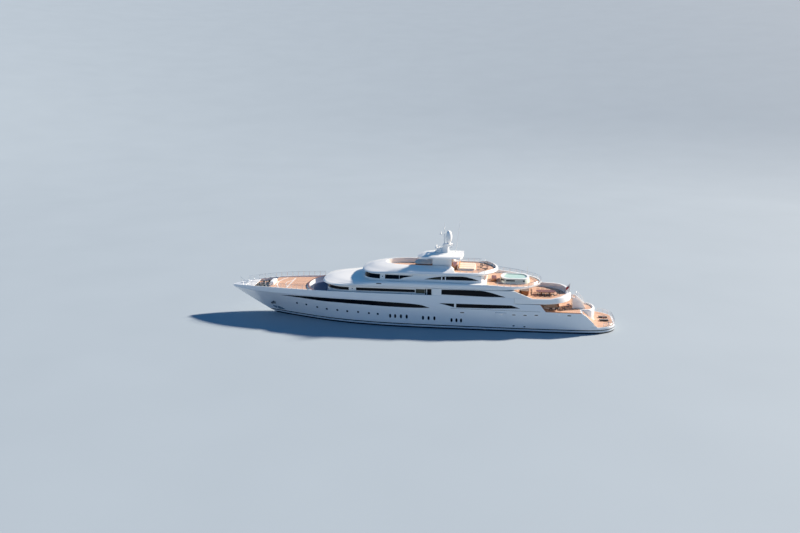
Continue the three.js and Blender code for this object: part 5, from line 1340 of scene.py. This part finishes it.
def blown(name, length, width, height, swell):
    """The mesh of a cushion of this size, centred, after the simulation, in metres of the ship."""
    x, y, z = [side / 2 - swell for side in (length, width, height)]
    start = piece(name, soft_box(-x, x, -y, y, -z, z, min(0.04, height / 4)), SAND_CLOTH)
    grain = start.modifiers.new("voxels", "REMESH")
    grain.mode = "VOXEL"
    grain.voxel_size = max(0.0018, height * SHIP / 5)
    apply_modifiers(start, 180)
    flat = [corner.co.copy() for corner in start.data.vertices]
    cloth = start.modifiers.new("cover", "CLOTH")
    cloth.settings.use_pressure = True
    cloth.settings.uniform_pressure_force = 4
    cloth.settings.effector_weights.gravity = 0
    cloth.point_cache.frame_start = 1
    cloth.point_cache.frame_end = 20
    for number in range(1, 21):
        bpy.context.scene.frame_set(number)
    apply_modifiers(start, 180)
    bpy.context.scene.frame_set(1)
    limit = swell * SHIP
    for corner, before in zip(start.data.vertices, flat):
        step = corner.co - before
        corner.co = before + step * min(1, limit / max(step.length, 1e-9))
    if length > 1:
        for corner in start.data.vertices:
            nearest = min(abs(corner.co.x - k * length * SHIP) for k in (-0.25, 0, 0.25))
            if abs(corner.co.z) > height * SHIP * 0.25:
                corner.co.z *= 1 - 0.18 * exp(-(nearest / 0.0025) ** 2)
    mesh = start.data
    bpy.data.objects.remove(start)
    return mesh


def cushion(name, mesh, size, place, material):
    """Sets a blown cushion into a box of the given size at a place."""
    made = bpy.data.objects.new(name, mesh.copy())
    low = [min(corner.co[k] for corner in mesh.vertices) for k in range(3)]
    high = [max(corner.co[k] for corner in mesh.vertices) for k in range(3)]
    for corner in made.data.vertices:
        local = Vector([((corner.co[k] - low[k]) / (high[k] - low[k]) - 0.5) * size[k] for k in range(3)])
        corner.co = (place @ local) * SHIP
    made.data.materials.clear()
    made.data.materials.append(material)
    made.data.shade_smooth()
    bpy.context.scene.collection.objects.link(made)
    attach(made, "ship")


SEAT_PAD = blown("seat_pad", 3.2, 1.7, 0.22, 0.025)
BACK_PAD = blown("back_pad", 1.7, 0.3, 0.5, 0.03)
CHAIR_PAD = blown("chair_pad", 0.5, 0.5, 0.09, 0.012)
for deck, pitch, floor, seat_x, seat, back_x, back in (
    ("sun", 1.73, SUN_FLOOR, -10.6, (3.5, 1.68, 0.2), -8.86, (1.66, 0.22, 0.42)),
    ("main", 1.6, MAIN_FLOOR, -28.8, (3.1, 1.55, 0.2), -30.34, (1.53, 0.22, 0.42)),
):
    for k in range(3):
        y = (k - 1) * pitch
        cushion(f"{deck}_deck_seat_{k}", SEAT_PAD, seat, stand(seat_x, y, floor + 0.345, 0), SAND_CLOTH)
        cushion(f"{deck}_deck_back_{k}", BACK_PAD, back, stand(back_x, y, floor + 0.66, 90), ORANGE_CLOTH)
for k, place in enumerate(CHAIRS):
    cushion(f"chair_seat_{k}", CHAIR_PAD, (0.46, 0.48, 0.09),
            place @ Matrix.Translation((0.01, 0, 0.49)), SLATE_CLOTH)
for k, y in enumerate((-1.1, 1.1)):
    cushion(f"sunbed_pad_{k}", SEAT_PAD, (1.8, 0.66, 0.13), stand(-40.25, y, PLATFORM + 0.345, 0),
            SLATE_CLOTH)

# Ensign staff: a varnished pole in a polished socket on the aft coaming
STAFF_Y = 1.75
piece("ensign_socket", turned([(0.1, 7.754), (0.1, 7.8), (0.06, 7.84), (0.06, 8.0)], -32.45, STAFF_Y, 16),
      STEEL)
piece("ensign_pole", tube([(-32.45, STAFF_Y, 7.784), (-32.55, STAFF_Y, 9.72), (-32.552, STAFF_Y, 9.75)],
                          [0.04, 0.036, 0.02], 14), VARNISH, node="ensign_staff")

# Ensign
# Woven bunting, red with a dark blue corner crossed in white, toggled to the staff along its hoist. It
# hangs slack and slides down the light wind in four upright folds, which keep the cloth's full length.
BUNTING = [woven("red_bunting", "#b3202c", "#8c1520"), woven("blue_bunting", "#232a5c", "#171c42"),
           woven("white_bunting", "#f2efe9", "#dcd7ce")]
HOIST, FLY = 0.9, 1.5
across, down_count = 80, 24
cloth_corners = []
for j in range(down_count + 1):
    for i in range(across + 1):
        u, v = i / across, j / down_count
        fold = 0.085 * min(1, u * 5) * (0.8 + 0.3 * v) * sin(2 * pi * 4 * u + 0.7 * v)
        cloth_corners.append(Vector((-32.455 + 0.046 * v + 0.68 * u, STAFF_Y + fold,
                                     9.6 - 0.84 * u ** 0.9 - HOIST * v * (1 - 0.22 * u))) * SHIP)
row = across + 1
cloth_faces = [[j * row + i, j * row + i + 1, (j + 1) * row + i + 1, (j + 1) * row + i]
               for j in range(down_count) for i in range(across)]
flag_mesh = bpy.data.meshes.new("ensign_bunting")
flag_mesh.from_pydata(cloth_corners, [], cloth_faces)
for k, material in enumerate(BUNTING):
    flag_mesh.materials.append(material)
for face in flag_mesh.polygons:
    u = (face.index % across + 0.5) / across * 2
    v = (face.index // across + 0.5) / down_count * 2
    if u < 1 and v < 1:
        on_cross = abs(u - 0.5) < 0.09 or abs(v - 0.5) < 0.15 or abs(u - v) < 0.09 or abs(u + v - 1) < 0.09
        face.material_index = 2 if on_cross else 1
ensign = bpy.data.objects.new("ensign_bunting", flag_mesh)
bpy.context.scene.collection.objects.link(ensign)
flag_mesh.shade_smooth()
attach(ensign, "ship")
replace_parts(ensign, "ensign")

# Studio
# A plain pale floor at the waterline, a warm key from the starboard quarter, where the low sun stands
# in the photograph, and a cool soft surround that fills the shaded port side.
# It lies flat out to 20 m from the ship and then sweeps up gently, so that no horizon shows.
sweep = [(0.001, 0), (10, 0), (20, 0)] + [(20 + 20 * t, 2.1 * t * t) for t in steps(0, 1, 10)[1:]]
sweep += [(60, 6.3), (90, 12.6), (130, 21)]
floor_mesh = bpy.data.meshes.new("studio_floor")
floor_rings = [disc(0, 0, r, 96) for r, z in sweep]
floor_mesh.from_pydata([(x, y, z) for ring, (r, z) in zip(floor_rings, sweep) for x, y in ring], [],
                       [(k * 96 + i, k * 96 + (i + 1) % 96, k * 96 + 96 + (i + 1) % 96, k * 96 + 96 + i)
                        for k in range(len(sweep) - 1) for i in range(96)])
floor_mesh.shade_smooth()
floor = bpy.data.objects.new("studio_floor", floor_mesh)
floor_paint, tree, shader, place = finish_of("matt_studio_floor", None, "#96a3af", 0.85)
mottle = add(tree, "TexNoise", {"Vector": place, "Scale": 0.4, "Detail": 2}).outputs["Fac"]
tone = add(tree, "Mix", {"Factor": mottle, "A": linear("#93a0ac"), "B": linear("#99a6b2")},
           data_type="RGBA")
tree.links.new(tone.outputs["Result"], shader.inputs["Base Color"])
floor_mesh.materials.append(floor_paint)
bpy.context.scene.collection.objects.link(floor)

world = bpy.data.worlds.new("studio_surround")
bpy.context.scene.world = world
world.use_nodes = True
surround = world.node_tree.nodes["Background"]
surround.inputs["Color"].default_value = linear("#5091cb")
surround.inputs["Strength"].default_value = 0.62

key = bpy.data.lights.new("key_from_starboard_quarter", "SUN")
key.energy = 9
key.angle = radians(4)
key.color = linear("#fff0dc")[:3]
lamp = bpy.data.objects.new("key_from_starboard_quarter", key)
lamp.rotation_mode = "QUATERNION"
lamp.rotation_quaternion = Vector((0.734, 0.424, -0.53)).to_track_quat("-Z", "Y")
bpy.context.scene.collection.objects.link(lamp)

# Camera
# It looks down on the port side from a height, as the photograph does, a little aft of amidships.
LENS_PIXELS = 760  # focal length in pixels of an image 800 wide
camera_data = bpy.data.cameras.new("camera")
camera_data.sensor_width = 36
camera_data.lens = LENS_PIXELS / 800 * camera_data.sensor_width
camera_data.clip_end = 1000
camera = bpy.data.objects.new("camera", camera_data)
camera.location = (-1.645, 16.085, 5.4525)
down = radians(14.779)
look = Vector((0.1274 * cos(down), -0.9919 * cos(down), -sin(down)))
camera.rotation_mode = "QUATERNION"
camera.rotation_quaternion = look.to_track_quat("-Z", "Y")
bpy.context.scene.collection.objects.link(camera)
bpy.context.scene.camera = camera
bpy.context.scene.view_settings.view_transform = "Standard"  # keeps the blue of the shade and the full white

bpy.context.view_layer.update()
